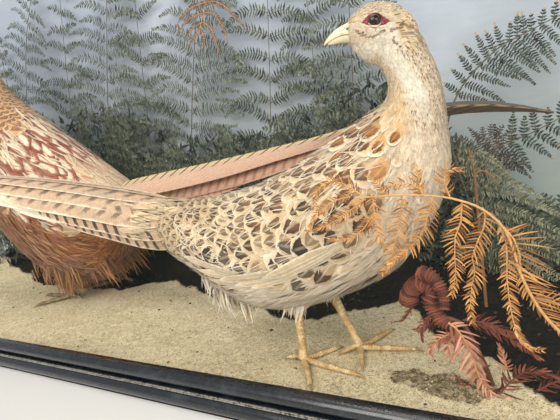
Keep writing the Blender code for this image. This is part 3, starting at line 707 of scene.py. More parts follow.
def makeHenSkin():
    tidy = bmesh.new()
    covered = ["hen_trunk", "hen_neck", "hen_head", "hen_wing_left", "hen_wing_right", "hen_thigh_left",
               "hen_thigh_right"]
    for node in covered[:3] + ["hen_eye_left", "hen_eye_right"] + covered[3:]:
        part = bmesh.new()
        part.from_mesh(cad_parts[node].data)
        bmesh.ops.remove_doubles(part, verts=part.verts, dist=1e-5)
        part.normal_update()
        for v in part.verts:
            v.co += v.normal * skinDepth["join"] * mm
        copy = fromBmesh(node + "Copy", part)
        tidy.from_mesh(copy)
        bpy.data.meshes.remove(copy)
    mesh = fromBmesh("henSkin", tidy)
    raw = addObject("henSkinRaw", mesh)
    remesh = raw.modifiers.new("oneSkin", "REMESH")
    remesh.mode = "VOXEL"
    remesh.voxel_size = skinDepth["voxel"] * mm
    ease = raw.modifiers.new("ease", "SMOOTH")
    ease.factor = 0.6
    ease.iterations = 9
    mesh = evaluated(raw)
    mesh.name = "henSkin"
    points, normals = readPoints(mesh)
    points -= normals * ((henSkinDepth(points) + skinDepth["join"]) * mm)[:, None]
    mesh.vertices.foreach_set("co", points.ravel())
    mesh.update()
    mesh.shade_smooth()
    skin = Graph("henSkin", 0.8)
    mottle = skin.noise(skin.place(), 180, 4)
    fine = skin.noise(skin.place(), 1500, 2)
    skin.relief(fine, 0.0004)
    finish = skin.paint(skin.mix(mottle, "b39a74", "d9c7a6"))
    return keep(addObject("henSkin", mesh, finish), "hen_plumage", *covered)


def makeCockSkin():
    rings = []
    angles = turns(64)
    for along in np.linspace(0.0, cockBody.last, 120):
        depth = np.interp(along, (0, 8, 10, 11, 13, 15), (4.5, 4.0, 2.0, 1.2, 0.8, 0.4))
        rings.append(cockBody.at(np.full(64, along), angles, -depth * mm))
    finish = grainy("cockSkin", 0.8, 180, "7b4d2c", "a9763f", 4)
    return keepLoft("cockSkin", rings, finish, "cock_plumage", "cock_pheasant")


# ---- laying feathers in staggered columns along a body ----

def layColumns(body, columns, start, end, rows, put, seed, stretch=260):
    # rows say how much of each feather shows at some sections; seen gives it anywhere
    spots, shown = zip(*rows)

    def seen(along):
        return np.interp(along, spots, shown)

    rng = np.random.default_rng(seed)
    steps = np.linspace(start, end, stretch)
    for k in range(columns):
        angle = float(wrap(fullTurn * k / columns))
        path = body.at(steps, angle)
        step = np.linalg.norm(np.diff(path, axis=0), axis=1) / mm
        between = (steps[1:] + steps[:-1]) / 2
        far = np.concatenate([[0], np.cumsum(step / seen(between))])
        gap = np.linalg.norm(body.at(steps, angle + fullTurn / columns) - path, axis=1) / mm
        for n in np.arange(0.2 + 0.5 * (k % 2), far[-1], 1.0):
            n += rng.uniform(-0.13, 0.13)
            along = float(np.interp(n, far, steps))
            i = min(int(np.searchsorted(steps, along)), stretch - 1)
            way = path[max(i - 3, 0)] - path[min(i + 3, stretch - 1)]
            aside = rng.normal(0, 0.10) * fullTurn / columns
            place = body.at(along, angle + aside)[0]
            put(along, angle + aside, place, way, float(seen(along)), gap[i], rng)


def spotAt(along, last, angle):
    # a root's place on the unwrapped body
    return (0.03 + 0.94 * along / last, 0.03 + 0.94 * (angle / fullTurn + 0.5) % 1)


# ---- the hen's plumage ----

# a vane's markings: ground, edge and shaft say a colour and its share; groundWide, edgeWide and barWide
# say where across the vane they start and end; spot says its place along, length, width and lean; bars
# say their number, lean, how broken they are and their colour; the rest are plain numbers
henLooks = {
    "mantle": {
        "ground": ("cb9350", 0.85), "groundWide": (0.6, 0.95), "spot": (0.66, 0.34, 0.70, 0.18),
        "spotColours": ("925f30", "3a2210"), "edge": ("cream", 0.65), "shaft": ("orangeBuff", 0.4),
    },
    "scapular": {
        "ground": ("bf9c68", 0.65), "spot": (0.70, 0.26, 0.62, 0.28), "spotColours": ("704a2b", "22150b"),
        "edge": ("dfcca8", 0.8), "shaft": ("dfcca8", 0.35),
    },
    "covert": {
        "ground": ("b6986c", 0.7), "spot": (0.72, 0.21, 0.54, 0.34), "spotColours": ("553921", "1c120a"),
        "edge": ("d8c49e", 0.72), "shaft": ("d8c49e", 0.3),
    },
    "blotch": {
        "ground": ("cdb489", 0.4), "spot": (0.70, 0.27, 0.62, 0.20), "spotColours": ("3d2a1b", "17100b"),
        "edge": ("white", 0.8), "shaft": ("cream", 0.2),
    },
    "rump": {
        "ground": ("a88c64", 0.7), "groundWide": (0.6, 0.95), "spot": (0.76, 0.16, 0.46, 0.40),
        "spotColours": ("523a25", "261a10"), "edge": ("c2ad83", 0.5), "shaft": ("c2ad83", 0.6),
    },
    "tailCovert": {
        "ground": ("tan", 0.7), "bars": (2.2, 0.9, 0.4, "4b3420"), "edge": ("cream", 0.7), "ragged": 260,
        "mottle": 0.6,
    },
    "breast": {"spot": (0.6, 0.34, 0.42, 0.0), "spotColours": ("c59a6c", "b08660"), "ragged": 400,
               "mottle": 0.35},
    "neck": {
        "spot": (0.80, 0.18, 0.62, 0.35), "spotColours": ("8a6650", "5f4232"), "ragged": 900, "barbs": 5,
        "barbLean": 2,
    },
    "head": {
        "spot": (0.68, 0.36, 0.55, 0.0), "spotColours": ("6f4a26", "553519"), "ragged": 900,
        "barbShade": 0.03,
        "mottle": 0.45,
    },
    "down": {"edge": ("white", 0.3), "barbs": 3, "barbLean": 9, "sheen": 0.3, "mottle": 0.3},
    "flight": {
        "ground": ("cdb68e", 0.75), "ragged": 300, "edge": ("white", 0.95), "shaft": ("white", 0.8),
        "barbs": 70,
        "mottle": 0.7,
    },
}

henLay = {
    # columns round the body, first and last section, rows: section and how much of each feather shows
    "rump": (36, 0.04, 2.5, ((0, 5.4), (1.5, 6.6), (2.5, 7.8))),
    "body": (32, 2.2, 8.4, ((2, 7.8), (4, 9.2), (6, 10.0), (7.2, 7.8), (8.4, 5.0))),
    "neck": (60, 8.0, 11.7, ((8, 3.6), (9.5, 2.9), (12, 2.4))),
}


def wingSpan(along):
    # the angles, in degrees, between which the closed wing lies
    t = np.clip((7.0 - along) / 5.75, 0, 1)
    upper = 36 + 24 * t**1.5
    return upper, upper + 64 * np.sin(pi * (0.10 + 0.82 * t**0.8)) ** 0.75


def neckLook(along, angle, rng):
    # tint and mark on the neck: a pale stripe comes down from the throat, dark specks beyond it
    stripe = np.interp(along, (8, 9, 10, 11, 12), (-103, -98, -92, -76, -56))
    away = abs(degrees(wrap(angle - radians(stripe))))
    white = (1 - ramp01(away, 12, 36)) * ramp01(along, 8.8, 10.2)
    left = -78 < degrees(angle) < 70
    tint = blendTo("pinkBuff", 0.45 + 0.4 * rng.random(), "cream")
    if left:
        tint = blendTo("buff", rng.random() * 0.8, "cream")
    if left and along < 9.2:
        tint = blendTo(tint, 0.35 * rng.random(), "orangeBuff")
    tint = blendTo(tint, white, "white")
    mark = (0.5 if left else 1.0) * (1 - white) * rng.uniform(0.0, 1.5)
    return np.array(tint) * 0.86, mark * (0.35 + 0.65 * ramp01(along, 8.4, 9.6))


def makeHenCoat(surface):
    broad = "mantle", "scapular", "covert", "blotch", "rump", "breast"
    coats = {name: Coat(broadVane, surface) for name in broad}
    coats.update({name: Coat(wispVane, surface) for name in ("neck", "down", "straw")})
    last = henBody.last

    def put(along, angle, place, way, step, gap, rng):
        a = abs(degrees(angle)) + rng.normal(0, 5)
        at = along + rng.normal(0, 0.15)
        spot = spotAt(along, last, angle)
        shared = {"tone": rng.random(), "spot": spot, "base": 0.25 + rng.uniform(0, 0.35)}
        upper, lower = wingSpan(along)
        inWing = 1.3 < along < 6.9 and upper < a < lower
        wide = gap * 1.62 * rng.uniform(0.88, 1.12)
        way = np.asarray(way, float)
        if along > 7.9:
            tint, mark = neckLook(along, angle, rng)
            way = unit(way) + rng.normal(0, 0.07, 3)
            coats["neck"].add(place, way, step * 3.0, wide * 0.86, 1.1, mark=mark, tint=tint, **shared)
            return
        if at < 0.9 and a < 150:
            kind, tint, mark = "rump", blendTo("tan", 0.6 * rng.random(), "cream"), 0.95
        elif inWing:
            low = (a - upper) / (lower - upper)
            kind = "scapular" if low < 0.42 and at > 2.8 else "covert"
            if low > 0.60 and at < 5.0 and rng.random() < 0.4:
                kind = "blotch"
            if at > 5.8:
                kind = "scapular"
            tint = blendTo("cream", 0.5 * rng.random(), "buff")
            mark = 1.0
            wide *= 1.06 + 0.25 * (low > 0.62)
        elif a < 70 and at > 5.4:
            kind, tint, mark = "mantle", "cream", 1.0
            wide *= 1.06 - 0.34 * float(ramp01(along, 6.6, 7.9))
        elif at < 2.5 and a < 128:
            kind, tint, mark = "rump", blendTo("tan", 0.7 * rng.random(), "cream"), 1.0
        elif a < upper + 6 and at < 5.2:
            kind, tint, mark = "covert" if at < 3.1 else "scapular", "cream", 1.0
        elif at > 5.0 and a < 150:
            tint = blendTo("cream", 0.7 * rng.random(), "pinkBuff")
            kind, mark = "breast", rng.uniform(0, 0.5)
        elif at > 6.2:
            kind, tint, mark = "breast", "cream", rng.uniform(0, 0.4)
        elif a < 122 and at < 3.0 and rng.random() < 0.5:
            kind, tint, mark = "rump", "cream", 0.75
        else:
            kind, tint, mark = "down", "white", 0.0
        if kind == "breast":
            for _ in range(9):
                nudge = rng.normal(0, 3.4, 3) * mm
                tone = blendTo("cream", rng.random() * 0.9, "pinkBuff")
                if rng.random() < 0.05:
                    tone = blendTo(tone, 0.6, "greyBrown")
                coats["down"].add(place + nudge, unit(way) + rng.normal(0, 0.12, 3),
                                  rng.uniform(11, 18), rng.uniform(2.2, 4.2), 1.5, tint=tone, camber=0.08,
                                  sweep=rng.uniform(-0.10, 0.10), tone=rng.random(), spot=spot,
                                  base=0.15 + rng.uniform(0, 0.5))
            if rng.random() > 0.22:
                return
            mark = rng.uniform(0.5, 1.0)
            tint = blendTo("cream", 0.5, "pinkBuff")
            coats["breast"].add(place, way, step * 1.5, wide * 0.55, 1.6, mark=mark, tint=tint,
                                camber=0.05, **shared)
            return
        if kind == "down":
            low = ramp01(a, 120, 165)
            for _ in range(10 if along > 2.2 else 5):
                nudge = rng.normal(0, (4.0, 3.2, 2.0)) * mm
                tone = blendTo("white", rng.uniform(0, 0.9), "pinkBuff" if a < 140 else "greyBrown")
                bent = unit(way) + rng.normal(0, 0.16, 3) + vec(0, 0, -0.25) * low
                coats["down"].add(place + nudge, bent, rng.uniform(16, 27), rng.uniform(2.0, 4.4),
                                  2.4 + 1.8 * low, tint=blendTo("cream", 0.6, tone),
                                  sweep=rng.uniform(-0.14, 0.14), camber=0.12, tone=rng.random(), spot=spot,
                                  base=0.4 + rng.uniform(0, 0.9))
            return
        if kind != "mantle":
            tint = np.array(colourOf(tint)) * 0.86
        if kind in ("mantle", "scapular", "covert", "blotch"):
            mark *= rng.choice((1.0, 0.9, 0.8, 0.6), p=(0.5, 0.25, 0.17, 0.08))
        way = way + np.cross(way, surface.near(place)[1]) * rng.normal(0, 0.22)
        place = place + rng.normal(0, 1.5, 3) * mm
        coats[kind].add(place, way, step * rng.uniform(2.2, 2.8), wide, 2.1, mark=mark, tint=tint,
                        camber=0.08, sweep=rng.uniform(-0.10, 0.10), **shared)
        if kind != "rump":
            # straw-like pale fibres that stray over the pattern
            for _ in range(1 if kind == "mantle" else 2):
                nudge = rng.normal(0, 5.0, 3) * mm
                stray = unit(way) + rng.normal(0, 0.30, 3)
                coats["straw"].add(place + nudge, stray, rng.uniform(9, 21), rng.uniform(0.5, 1.1),
                                   1.6, tint=blendTo("white", rng.random() * 0.6, "buff"),
                                   base=rng.uniform(2.0, 3.0), sweep=rng.uniform(-0.2, 0.2),
                                   tone=rng.random(), spot=spot, camber=0.15)

    for seed, (columns, start, end, rows) in enumerate(henLay.values(), 11):
        layColumns(henBody, columns, start, end, rows, put, seed)
    for name, coat in coats.items():
        coat.done("hen" + name.capitalize(), henLooks["down" if name == "straw" else name])


def hang(coat, rng, body, clumps, tints):
    # loose strands that hang free; middle and spread of their roots in the body's own millimetres
    for middle, spread, count, way, (short, long) in clumps:
        for _ in range(count):
            place = body.placed(np.array(middle) + rng.uniform(-1, 1, 3) * spread)
            bent = body.turn @ (np.array(way) + rng.normal(0, 0.16, 3))
            first, second = rng.integers(0, len(tints), 2)
            tint = blendTo(tints[first], rng.random(), tints[second])
            coat.add(place, bent, rng.uniform(short, long), rng.uniform(1.2, 2.6), 1.0, tint=tint, hangs=True,
                     tone=rng.random(), spot=(0.5, 0.02 + 0.9 * rng.random()), sweep=rng.uniform(-0.2, 0.2),
                     camber=0.15)


henTufts = {
    # middle and spread of the roots, number of strands, way they hang, shortest and longest
    "behind the right leg": ((4.5, -14.5, 57), (9, 8, 5), 110, (-0.2, -0.1, -1), (9, 17)),
    "behind the left leg": ((27, 15.5, 56), (8, 8, 5), 80, (-0.2, 0.1, -1), (9, 17)),
    "vent": ((-70, 0, 78), (8, 18, 4), 110, (0.12, 0, -1), (10, 22)),
    "before the vent": ((-58, 0, 67), (10, 22, 5), 190, (0.10, 0, -1), (14, 25)),
    "belly": ((-44, 0, 60), (10, 22, 4), 130, (0.12, 0, -1), (10, 21)),
    "between the legs": ((-28, 0, 56), (9, 20, 4), 60, (-0.3, 0, -1), (7, 13)),
}


def makeHenTufts():
    # white tufts round the tops of the legs and under the vent
    coat = Coat(wispVane)
    hang(coat, np.random.default_rng(29), henBody, henTufts.values(),
         ("white", "white", "cream", "greyBrown"))
    coat.done("henTufts", henLooks["down"])


def makeHenTailCoverts():
    # long rump feathers that run out over the root of the tail
    coat = Coat(pointedVane)
    rng = np.random.default_rng(37)
    base = np.array(henTail["base"], float)
    for ring, reach in enumerate((34, 24, 14, 4)):
        for angle in np.linspace(-150, 150, 33 - 3 * ring):
            a = radians(angle + rng.normal(0, 5))
            size = 1.0 - 0.07 * ring
            root = base + vec(12 - reach + rng.normal(0, 5), sin(a) * 20 * size, -17 + cos(a) * 21 * size)
            way = vec(-1, -sin(a) * 0.16, 0.16 - 0.10 * cos(a)) + rng.normal(0, 0.06, 3)
            way = way * rng.uniform(0.75, 1.1)
            outward = vec(0, sin(a), cos(a))
            points = [root + (way * u + outward * 0.05 * sin(pi * u)) * 38 for u in np.linspace(0, 1, 6)]
            tint = blendTo("cream", rng.random() * 0.8, "tan")
            addLong(coat, henBody.placed(points), [henBody.turn @ outward] * 2, rng.uniform(5, 8),
                    fold=0.05, tone=rng.random(), mark=rng.choice((1.0, 0.8, 0.3)), tint=tint,
                    spot=(0.03, 0.5 + angle / 400))
    coat.done("henTailCoverts", henLooks["tailCovert"])


henFlight = {
    # feathers on each wing, and from the first to the last: section, length, width
    "count": 9,
    "along": (5.6, 2.7),
    "length": (66, 58),
    "width": (9.5, 7.5),
}


def makeHenFlight(surface):
    # secondaries and primaries along the lower edge of each closed wing
    coat = Coat(longVane, surface)
    rng = np.random.default_rng(5)
    last = henFlight["count"] - 1
    ends = [henFlight[key] for key in ("along", "length", "width")]
    for side in (1, -1):
        for k in range(last + 1):
            t = k / last
            along, long, wide = (a + (b - a) * t for a, b in ends)
            _, lower = wingSpan(along)
            angle = side * radians(lower + 1 + 3 * t - 4.5 * (k % 3))
            place = henBody.at(along, angle, 4 * mm)[0]
            ahead = henBody.at(along - 0.9, angle + side * radians(2 - 5 * t), 4 * mm)[0]
            tint = blendTo("cream", rng.uniform(0, 0.4), "buff")
            coat.add(place, ahead - place, long, wide, 1.6, base=2.6 + 0.35 * (k % 3), tint=tint, mark=0.75,
                     tone=rng.random(), spot=spotAt(along, henBody.last, angle), camber=0.05)
    coat.done("henFlight", henLooks["flight"])


headLines = {
    # in the head's own millimetres, forward and up: the lines drawn on each cheek, with reach and strength
    "under the eye": (((8.0, -0.9), (5.2, -2.5), (1.5, -4.2), (-1.2, -4.4), (-5.5, -3.4), (-7.2, -1.2)), 0.75,
                      0.85),
    "from the gape": (((18.3, 2.2), (16.9, 0.2), (15.2, -1.5), (12.4, -3.2), (9.9, -4.7), (7.6, -3.8)), 0.95,
                      0.9),
    "behind the cheek": (((-1.0, -9.7), (-2.2, -13.2), (-3.5, -14.4)), 1.2, 0.9),
    "ear": (((-7.4, -3.1), (-12.9, -4.6), (-18.3, -8.5)), 1.0, 0.5),
    "lower ear": (((-6.0, -7.5), (-12.0, -9.0), (-17.0, -13.0)), 1.0, 0.45),
}

throatEdge = ((-24, -26), (-10, -17.2), (-3.5, -14.4), (-0.6, -11.2), (4.5, -7.3), (8.2, -5.6), (16.7, -6.2),
              (20.0, -3.8))

almond = {
    # the bare red skin round the eye: forward, lower edge, upper edge
    "forward": (-4.8, -2.0, 0.7, 3.2, 6.7, 9.7, 12.0, 14.2),
    "low": (0.6, -0.6, -0.3, 0.5, 1.6, 2.9, 4.1, 5.7),
    "high": (1.2, 4.4, 7.0, 8.9, 9.6, 8.8, 7.6, 6.1),
}


def farFromLine(x, z, line):
    # the distance from a place to a line of points
    best = 99.0
    for (ax, az), (bx, bz) in zip(line[:-1], line[1:]):
        length = (bx - ax) ** 2 + (bz - az) ** 2
        t = min(1, max(0, ((x - ax) * (bx - ax) + (z - az) * (bz - az)) / length))
        best = min(best, hypot(x - ax - t * (bx - ax), z - az - t * (bz - az)))
    return best


def headFeather(rng, x, z):
    # tint, mark and length at a place on the hen's head, in the head's own millimetres
    cream = blendTo("cream", rng.random() * 0.3, "buff")
    tint, mark, long = cream, 0.12, 3.1
    if z > 7:  # crown
        tint = blendTo(cream, 0.5 * rng.random(), "tan")
        mark = 0.55 * (rng.random() < 0.6) if x > -4 else 1.0 * (rng.random() < 0.6)
        long = 3.4 if x > -2 else 5.2
    if x < -5 and z <= 7:  # ear coverts and nape
        tint = blendTo("buff", 0.7 * rng.random(), "cream")
        mark, long = 0.75 * (rng.random() < 0.45), 5.6
    if x > 16 and z > 7:
        tint = blendTo(cream, 0.5 * rng.random(), "orangeBuff")
        mark = 0.8 * (rng.random() < 0.25)
    throat = np.interp(x, [p[0] for p in throatEdge], [p[1] for p in throatEdge])
    if z < throat:
        tint = blendTo("white", 0.35 * rng.random(), "cream")
        mark, long = 0.0, 4.2
    if -4 < x < 12 and throat < z < 2:
        tint = blendTo("white", 0.25 * rng.random(), "buff")
        mark = 0.04
    for line, reach, strength in headLines.values():
        if farFromLine(x, z, line) < reach * rng.uniform(0.7, 1.3):
            mark = strength * rng.uniform(0.6, 1.1)
            tint = blendTo(tint, 0.5, "brown")
    return tint, mark * rng.uniform(0.7, 1.2), long


def inEyePatch(x, z, grow=0.0):
    low, high = (np.interp(x, almond["forward"], almond[key]) for key in ("low", "high"))
    return almond["forward"][0] - grow < x < almond["forward"][-1] + grow and low - grow < z < high + grow


def makeHenHeadCoat(surface):
    coat = Coat(smallVane, surface)
    rng = np.random.default_rng(23)
    inHead = np.linalg.norm(surface.points - headOrigin, axis=1) < 42 * mm
    places = surface.points[inHead]
    order = np.lexsort(np.round(places / mm, 2).T)
    downNeck = henBody.at(10.6, pi / 2)[0] - henBody.at(11.6, pi / 2)[0]
    downNeck /= np.linalg.norm(downNeck)
    back = headWay(-1, 0, -0.12)
    for place in places[order]:
        x, y, z = headLocal(place)
        below = -0.5 * x - z
        if below > 34 or x > 21.5:
            continue
        if inEyePatch(x, z, -0.3) and abs(y) > 5:
            continue
        turned = float(ramp01(below, 8, 24))
        way = back * (1 - turned) + downNeck * turned
        tint, mark, long = headFeather(rng, x, z)
        if below > 20:
            # the start of the neck, coloured as the neck is
            local = henBody.local(place)
            angle = atan2(local[1] + 7 * mm, local[2] - 0.234)
            along = 12 - (below - 18) / 16
            neckTint, neckMark = neckLook(along, radians(-92) if z < -16 and x > -8 else angle, rng)
            share = float(ramp01(below, 20, 32)) if z > np.interp(x, (-24, -3), (-26, -14)) else 0.0
            tint, mark = blendTo(tint, share, neckTint), mark * (1 - share) + neckMark * share
        wide = rng.uniform(2.0, 2.7) if long < 4 else rng.uniform(2.1, 3.0)
        coat.add(place, way + rng.normal(0, 0.10, 3), long * rng.uniform(0.85, 1.2), wide,
                 0.8 if long < 4 else 1.1, base=rng.uniform(0.05, 0.25), mark=mark, tint=tint,
                 tone=rng.random(),
                 spot=(0.5 + x / 100, 0.5 + z / 100 + 0.3 * (y > 0)), camber=0.10)
    keep(coat.piece("henHeadCoat", vaneFinish("henHead", henLooks["head"])), "hen_plumage")
    print("  head", len(coat.feathers), "feathers")


# ---- the hen's head: bare skin, lids, glass eyes and bill ----

eyeLook = {"radius": 4.8, "opening": 4.15, "pupil": 0.60, "iris": "5a4030", "pupilColour": "070606",
           "lid": "f0dfc4"}


def sphereMesh(name, centre, axis, radius, around=40, down=26):
    # a ball whose pole looks along the axis, with the angle from the pole in an attribute
    points, ring, faces = [], [], []
    turn = Vector((0, 0, 1)).rotation_difference(Vector(axis)).to_matrix()
    for i in range(down + 1):
        polar = pi * i / down
        for j in range(around if 0 < i < down else 1):
            a = fullTurn * j / around
            way = turn @ Vector((sin(polar) * cos(a), sin(polar) * sin(a), cos(polar)))
            points.append(tuple(Vector(centre) + way * radius))
            ring.append(polar)
    def index(i, j):
        return 0 if i == 0 else (len(points) - 1 if i == down else 1 + (i - 1) * around + j % around)
    for i in range(down):
        for j in range(around):
            corners = [index(i, j), index(i + 1, j), index(i + 1, j + 1), index(i, j + 1)]
            faces.append(tuple(dict.fromkeys(corners)))
    mesh = outward(meshFrom(name, points, faces))
    onPoints(mesh, "polar", ring)
    return mesh


def eyeFinish():
    g = Graph("glassEye", 0.10, Specular_IOR_Level=0.45)
    polar = g.number("polar")
    streak = g.noise(g.stretched(g.place(), (900, 900, 900)), 1.0, 3)
    iris = g.mix(streak, "4a3324", eyeLook["iris"])
    iris = g.mix(g.step(polar, 0.80, 1.05), iris, "20140e")
    pupil = 1 - g.step(polar, eyeLook["pupil"], eyeLook["pupil"] + 0.06)
    return g.paint(g.mix(pupil, iris, eyeLook["pupilColour"]))


def makeHenEyes(surface):
    glass = eyeFinish()
    bare = Graph("eyeSkin", 0.5, Specular_IOR_Level=0.4)
    papilla = bare.cells(bare.place(), 1500)
    wrinkle = bare.noise(bare.place(), 700, 4)
    bare.relief(papilla + wrinkle, 0.0004)
    red = bare.mix(bare.step(wrinkle, 0.3, 0.75), "611924", "a8424f")
    redSkin = bare.paint(red)
    lidSkin = grainy("eyeLid", 0.6, 900, "c9a58c", eyeLook["lid"], relief=0.0003)
    eye, radius = henShape["eye"], eyeLook["radius"]
    for word, side in (("Left", 1), ("Right", -1)):
        centre = headWorld([eye[0], side * eye[1], eye[2]])
        axis = headWay(0.10, side, 0.05)
        ball = addObject("henEye" + word, sphereMesh("henEye" + word, centre, axis, radius * mm), glass)
        keep(ball, "glass_eye", "hen_eye_" + word.lower())

        def onHead(x, z, lift):
            start = headWorld([x, side * 34, z])
            found = surface.tree.ray_cast(Vector(start), Vector(headWay(0, -side, 0)))
            if found[0] is None:
                return np.array(surface.near(start)[0])
            return np.array(found[0]) + headWay(0, side, 0) * lift * mm

        # the red almond, open in the middle where the eye looks out
        steps, layers = 72, 9
        middle = vec(eye[0], eye[2])
        rings = []
        for share in np.arange(layers) / (layers - 1):
            ring = []
            for a in np.arange(steps) * fullTurn / steps:
                way = vec(cos(a), sin(a))
                reach = 0.0
                while inEyePatch(*(middle + reach * way)) and reach < 20:
                    reach += 0.2
                reach = max(reach, eyeLook["opening"] + 0.7)
                spot = (middle + eyeLook["opening"] * way) * (1 - share) + (middle + reach * way) * share
                # the inner rim stands round the ball, the outer rim sinks under the feathers
                ball = hypot(*(spot - middle))
                lift = 1.5 * sin(pi * min(1, share * 1.05) ** 0.6) + 0.5 * (1 - share) - 0.8 * share**3
                point = onHead(*spot, lift)
                if ball < radius - 0.05:
                    shell = headWorld([spot[0], side * (eye[1] + sqrt(radius**2 - ball**2) + 0.15), spot[1]])
                    if (shell - point) @ headWay(0, side, 0) > 0:
                        point = shell
                ring.append(point)
            rings.append(np.array(ring))
        closed = rings + [ring - headWay(0, side * 1.2 * mm, 0) for ring in rings[::-1]]
        n = len(closed)
        faces = [(i * steps + j, i * steps + (j + 1) % steps, (i + 1) % n * steps + (j + 1) % steps,
                  (i + 1) % n * steps + j) for i in range(n) for j in range(steps)]
        mesh = outward(meshFrom("henEyeSkin" + word, np.concatenate(closed), faces))
        keep(addObject("henEyeSkin" + word, mesh, redSkin), "hen_plumage")

        # the pale lower lid
        rings = []
        for j in range(40):
            x = 13.6 - 17.4 * j / 39
            low = float(np.interp(x, almond["forward"], almond["low"]))
            fat = 0.25 + 0.62 * sin(pi * j / 39) ** 0.6
            middle = onHead(x, low - 0.5, 0.75)
            out = headWay(-0.3, 0, 1)
            up = np.cross(headWay(-1, 0, -0.3), out)
            rings.append(ringAt(middle, out * fat * mm, up * 0.8 * fat * mm, 10))
        keepLoft("henLid" + word, rings, lidSkin)


billShape = {
    # forward, top, bottom, half width
    "upper": [(15, 9.4, 0.2, 5.1), (19, 9.8, 1.6, 5.2), (22.3, 9.5, 2.7, 4.8), (25, 9.0, 3.1, 4.3),
              (28.5, 8.0, 3.1, 3.6),
              (32.3, 6.2, 2.6, 2.7), (35.2, 4.2, 1.8, 1.9), (37.3, 2.3, 0.9, 1.0), (38.2, 1.2, 0.6, 0.4)],
    "lower": [(14, 0.0, -5.0, 4.3), (18, 1.0, -4.2, 4.2), (22, 2.2, -2.5, 3.8), (26, 2.7, -1.4, 3.2),
              (30, 2.5, -0.8, 2.4),
              (33.5, 1.8, -0.4, 1.5), (35.6, 1.0, 0.2, 0.6)],
}


def mandible(name, table, edge, finish):
    # rounded on its outside and flat along the gape
    rings = []
    for k in np.linspace(0, len(table) - 1, 34):
        ahead, top, bottom, wide = catmull(table, k)
        ring = []
        for t in turns(28):
            across, up = sin(t), cos(t)
            if up * edge < 0:
                up *= 0.35
                across = copysign(abs(across) ** 0.6, across)
            if edge > 0:
                z = bottom + (top - bottom) * max(0.0, up) ** 0.85 if up > 0 else bottom + up * 0.9
            else:
                z = top - (top - bottom) * max(0.0, -up) ** 0.85 if up < 0 else top + up * 0.5
            ring.append(headWorld([ahead, wide * across, z]))
        rings.append(ring)
    return addObject(name, loftMesh(name, rings, 70), finish)


def makeHenBill():
    horn = Graph("billHorn", 0.34, Specular_IOR_Level=0.5, Subsurface_Weight=0.1, Coat_Weight=0.25)
    place = horn.place()
    grain = horn.noise(horn.stretched(place, (1, 1, 5)), 420, 4)
    stain = horn.noise(place, 130, 3)
    colour = horn.mix(grain, "cdb98c", "efe3c3")
    colour = horn.mix(horn.step(stain, 0.52, 0.75) * 0.6, colour, "a38a5c")
    horn.relief(grain, 0.0002, 0.6)
    finish = horn.paint(colour)
    upper = mandible("henBillUpper", billShape["upper"], 1, finish)
    keep(upper, "horn", "hen_bill")
    keep(mandible("henBillLower", billShape["lower"], -1, finish), "horn")
    # the fleshy flap over each nostril, and the slit below it, a dark lump that paints the shade in the
    # opening
    slitShade = grainy("nostril", 0.7, 900, "33241a", "4d3826")
    for word, side in (("Left", 1), ("Right", -1)):
        for name, centre, size, skin in (
            ("henNostrilFlap" + word, (21.3, side * 3.5, 7.3), (3.0, 1.5, 1.9), finish),
            ("henNostril" + word, (20.6, side * 4.75, 5.6), (1.9, 0.5, 0.45), slitShade),
        ):
            rings = []
            for polar in np.linspace(0.12, pi - 0.12, 14):
                long, wide, tall = np.diag(size)
                ring = ringAt(centre + long * cos(polar), wide * sin(polar), tall * sin(polar), 16)
                rings.append(headWorld(ring))
            keepLoft(name, rings, skin, "horn")


# ---- legs: a scaled shank, three toes in front, one behind, and claws ----

legShape = {
    "hen": {
        "right": ((4.6, -14.5, 47.0), (3.7, -18.7, 5.2), ((-17, 58), (-65, 40), (44, 39), (165, 20))),
        "left": ((26.5, 15.5, 42.0), (45.8, 2.0, 5.2), ((4, 52), (58, 46), (-76, 29), (205, 19))),
    },
    "cock": {
        "left": ((262, 34, 62), (282, 30, 6.2), ((-6, 66), (38, 52), (-42, 52), (180, 24))),
        "right": ((262, -34, 62), (242, -30, 6.2), ((-6, 66), (38, 52), (-42, 52), (180, 24))),
    },
}


def legFinish(name, light, dark):
    g = Graph(name, 0.45, Specular_IOR_Level=0.5)
    place = g.place()
    net = g.cells(place, 620, feature="DISTANCE_TO_EDGE")
    seam = 1 - g.step(net, 0.03, 0.16)
    grime = g.noise(place, 160, 4)
    colour = g.mix(g.step(grime, 0.35, 0.7), dark, light)
    band = g.number("band")
    colour = g.mix((1 - g.step(band, 0.06, 0.25)) * 0.75, colour, "5d4422")
    colour = g.mix(seam * 0.45, colour, "6a5128")
    g.relief(net + grime * 0.3, 0.0005, 0.7)
    return g.paint(colour)


def scaledTube(points, radii, pitch, turnUp, seed, flat=1.0):
    # rings along a path whose front carries overlapping scutes; band is the place within each scute
    rng = np.random.default_rng(seed)
    path = [Vector(p) for p in points]
    far = [0.0]
    for a, b in zip(path[:-1], path[1:]):
        far.append(far[-1] + (b - a).length)
    steps = max(8, int(far[-1] / (pitch / 4)))
    rings, bands = [], []
    for k in range(steps + 1):
        s = far[-1] * k / steps
        i = float(np.interp(s, far, range(len(path))))
        place = Vector(catmull(np.array(path), i))
        ahead = Vector(catmull(np.array(path), min(i + 0.05, len(path) - 1))) - Vector(
            catmull(np.array(path), max(i - 0.05, 0)))
        ahead.normalize()
        side = ahead.cross(Vector(turnUp)).normalized()
        up = side.cross(ahead)
        radius = float(np.interp(i, range(len(path)), radii))
        within = (s / pitch) % 1
        ring, band = [], []
        for j in range(20):
            a = fullTurn * j / 20
            front = max(0.0, cos(a)) ** 0.7
            swell = 1 + 0.13 * front * (within - 0.4) + 0.02 * rng.normal()
            ring.append(np.array(place + (up * cos(a) * flat + side * sin(a)) * radius * swell))
            band.append(within if front > 0.2 else 0.6)
        rings.append(ring)
        bands += band
    return rings, bands


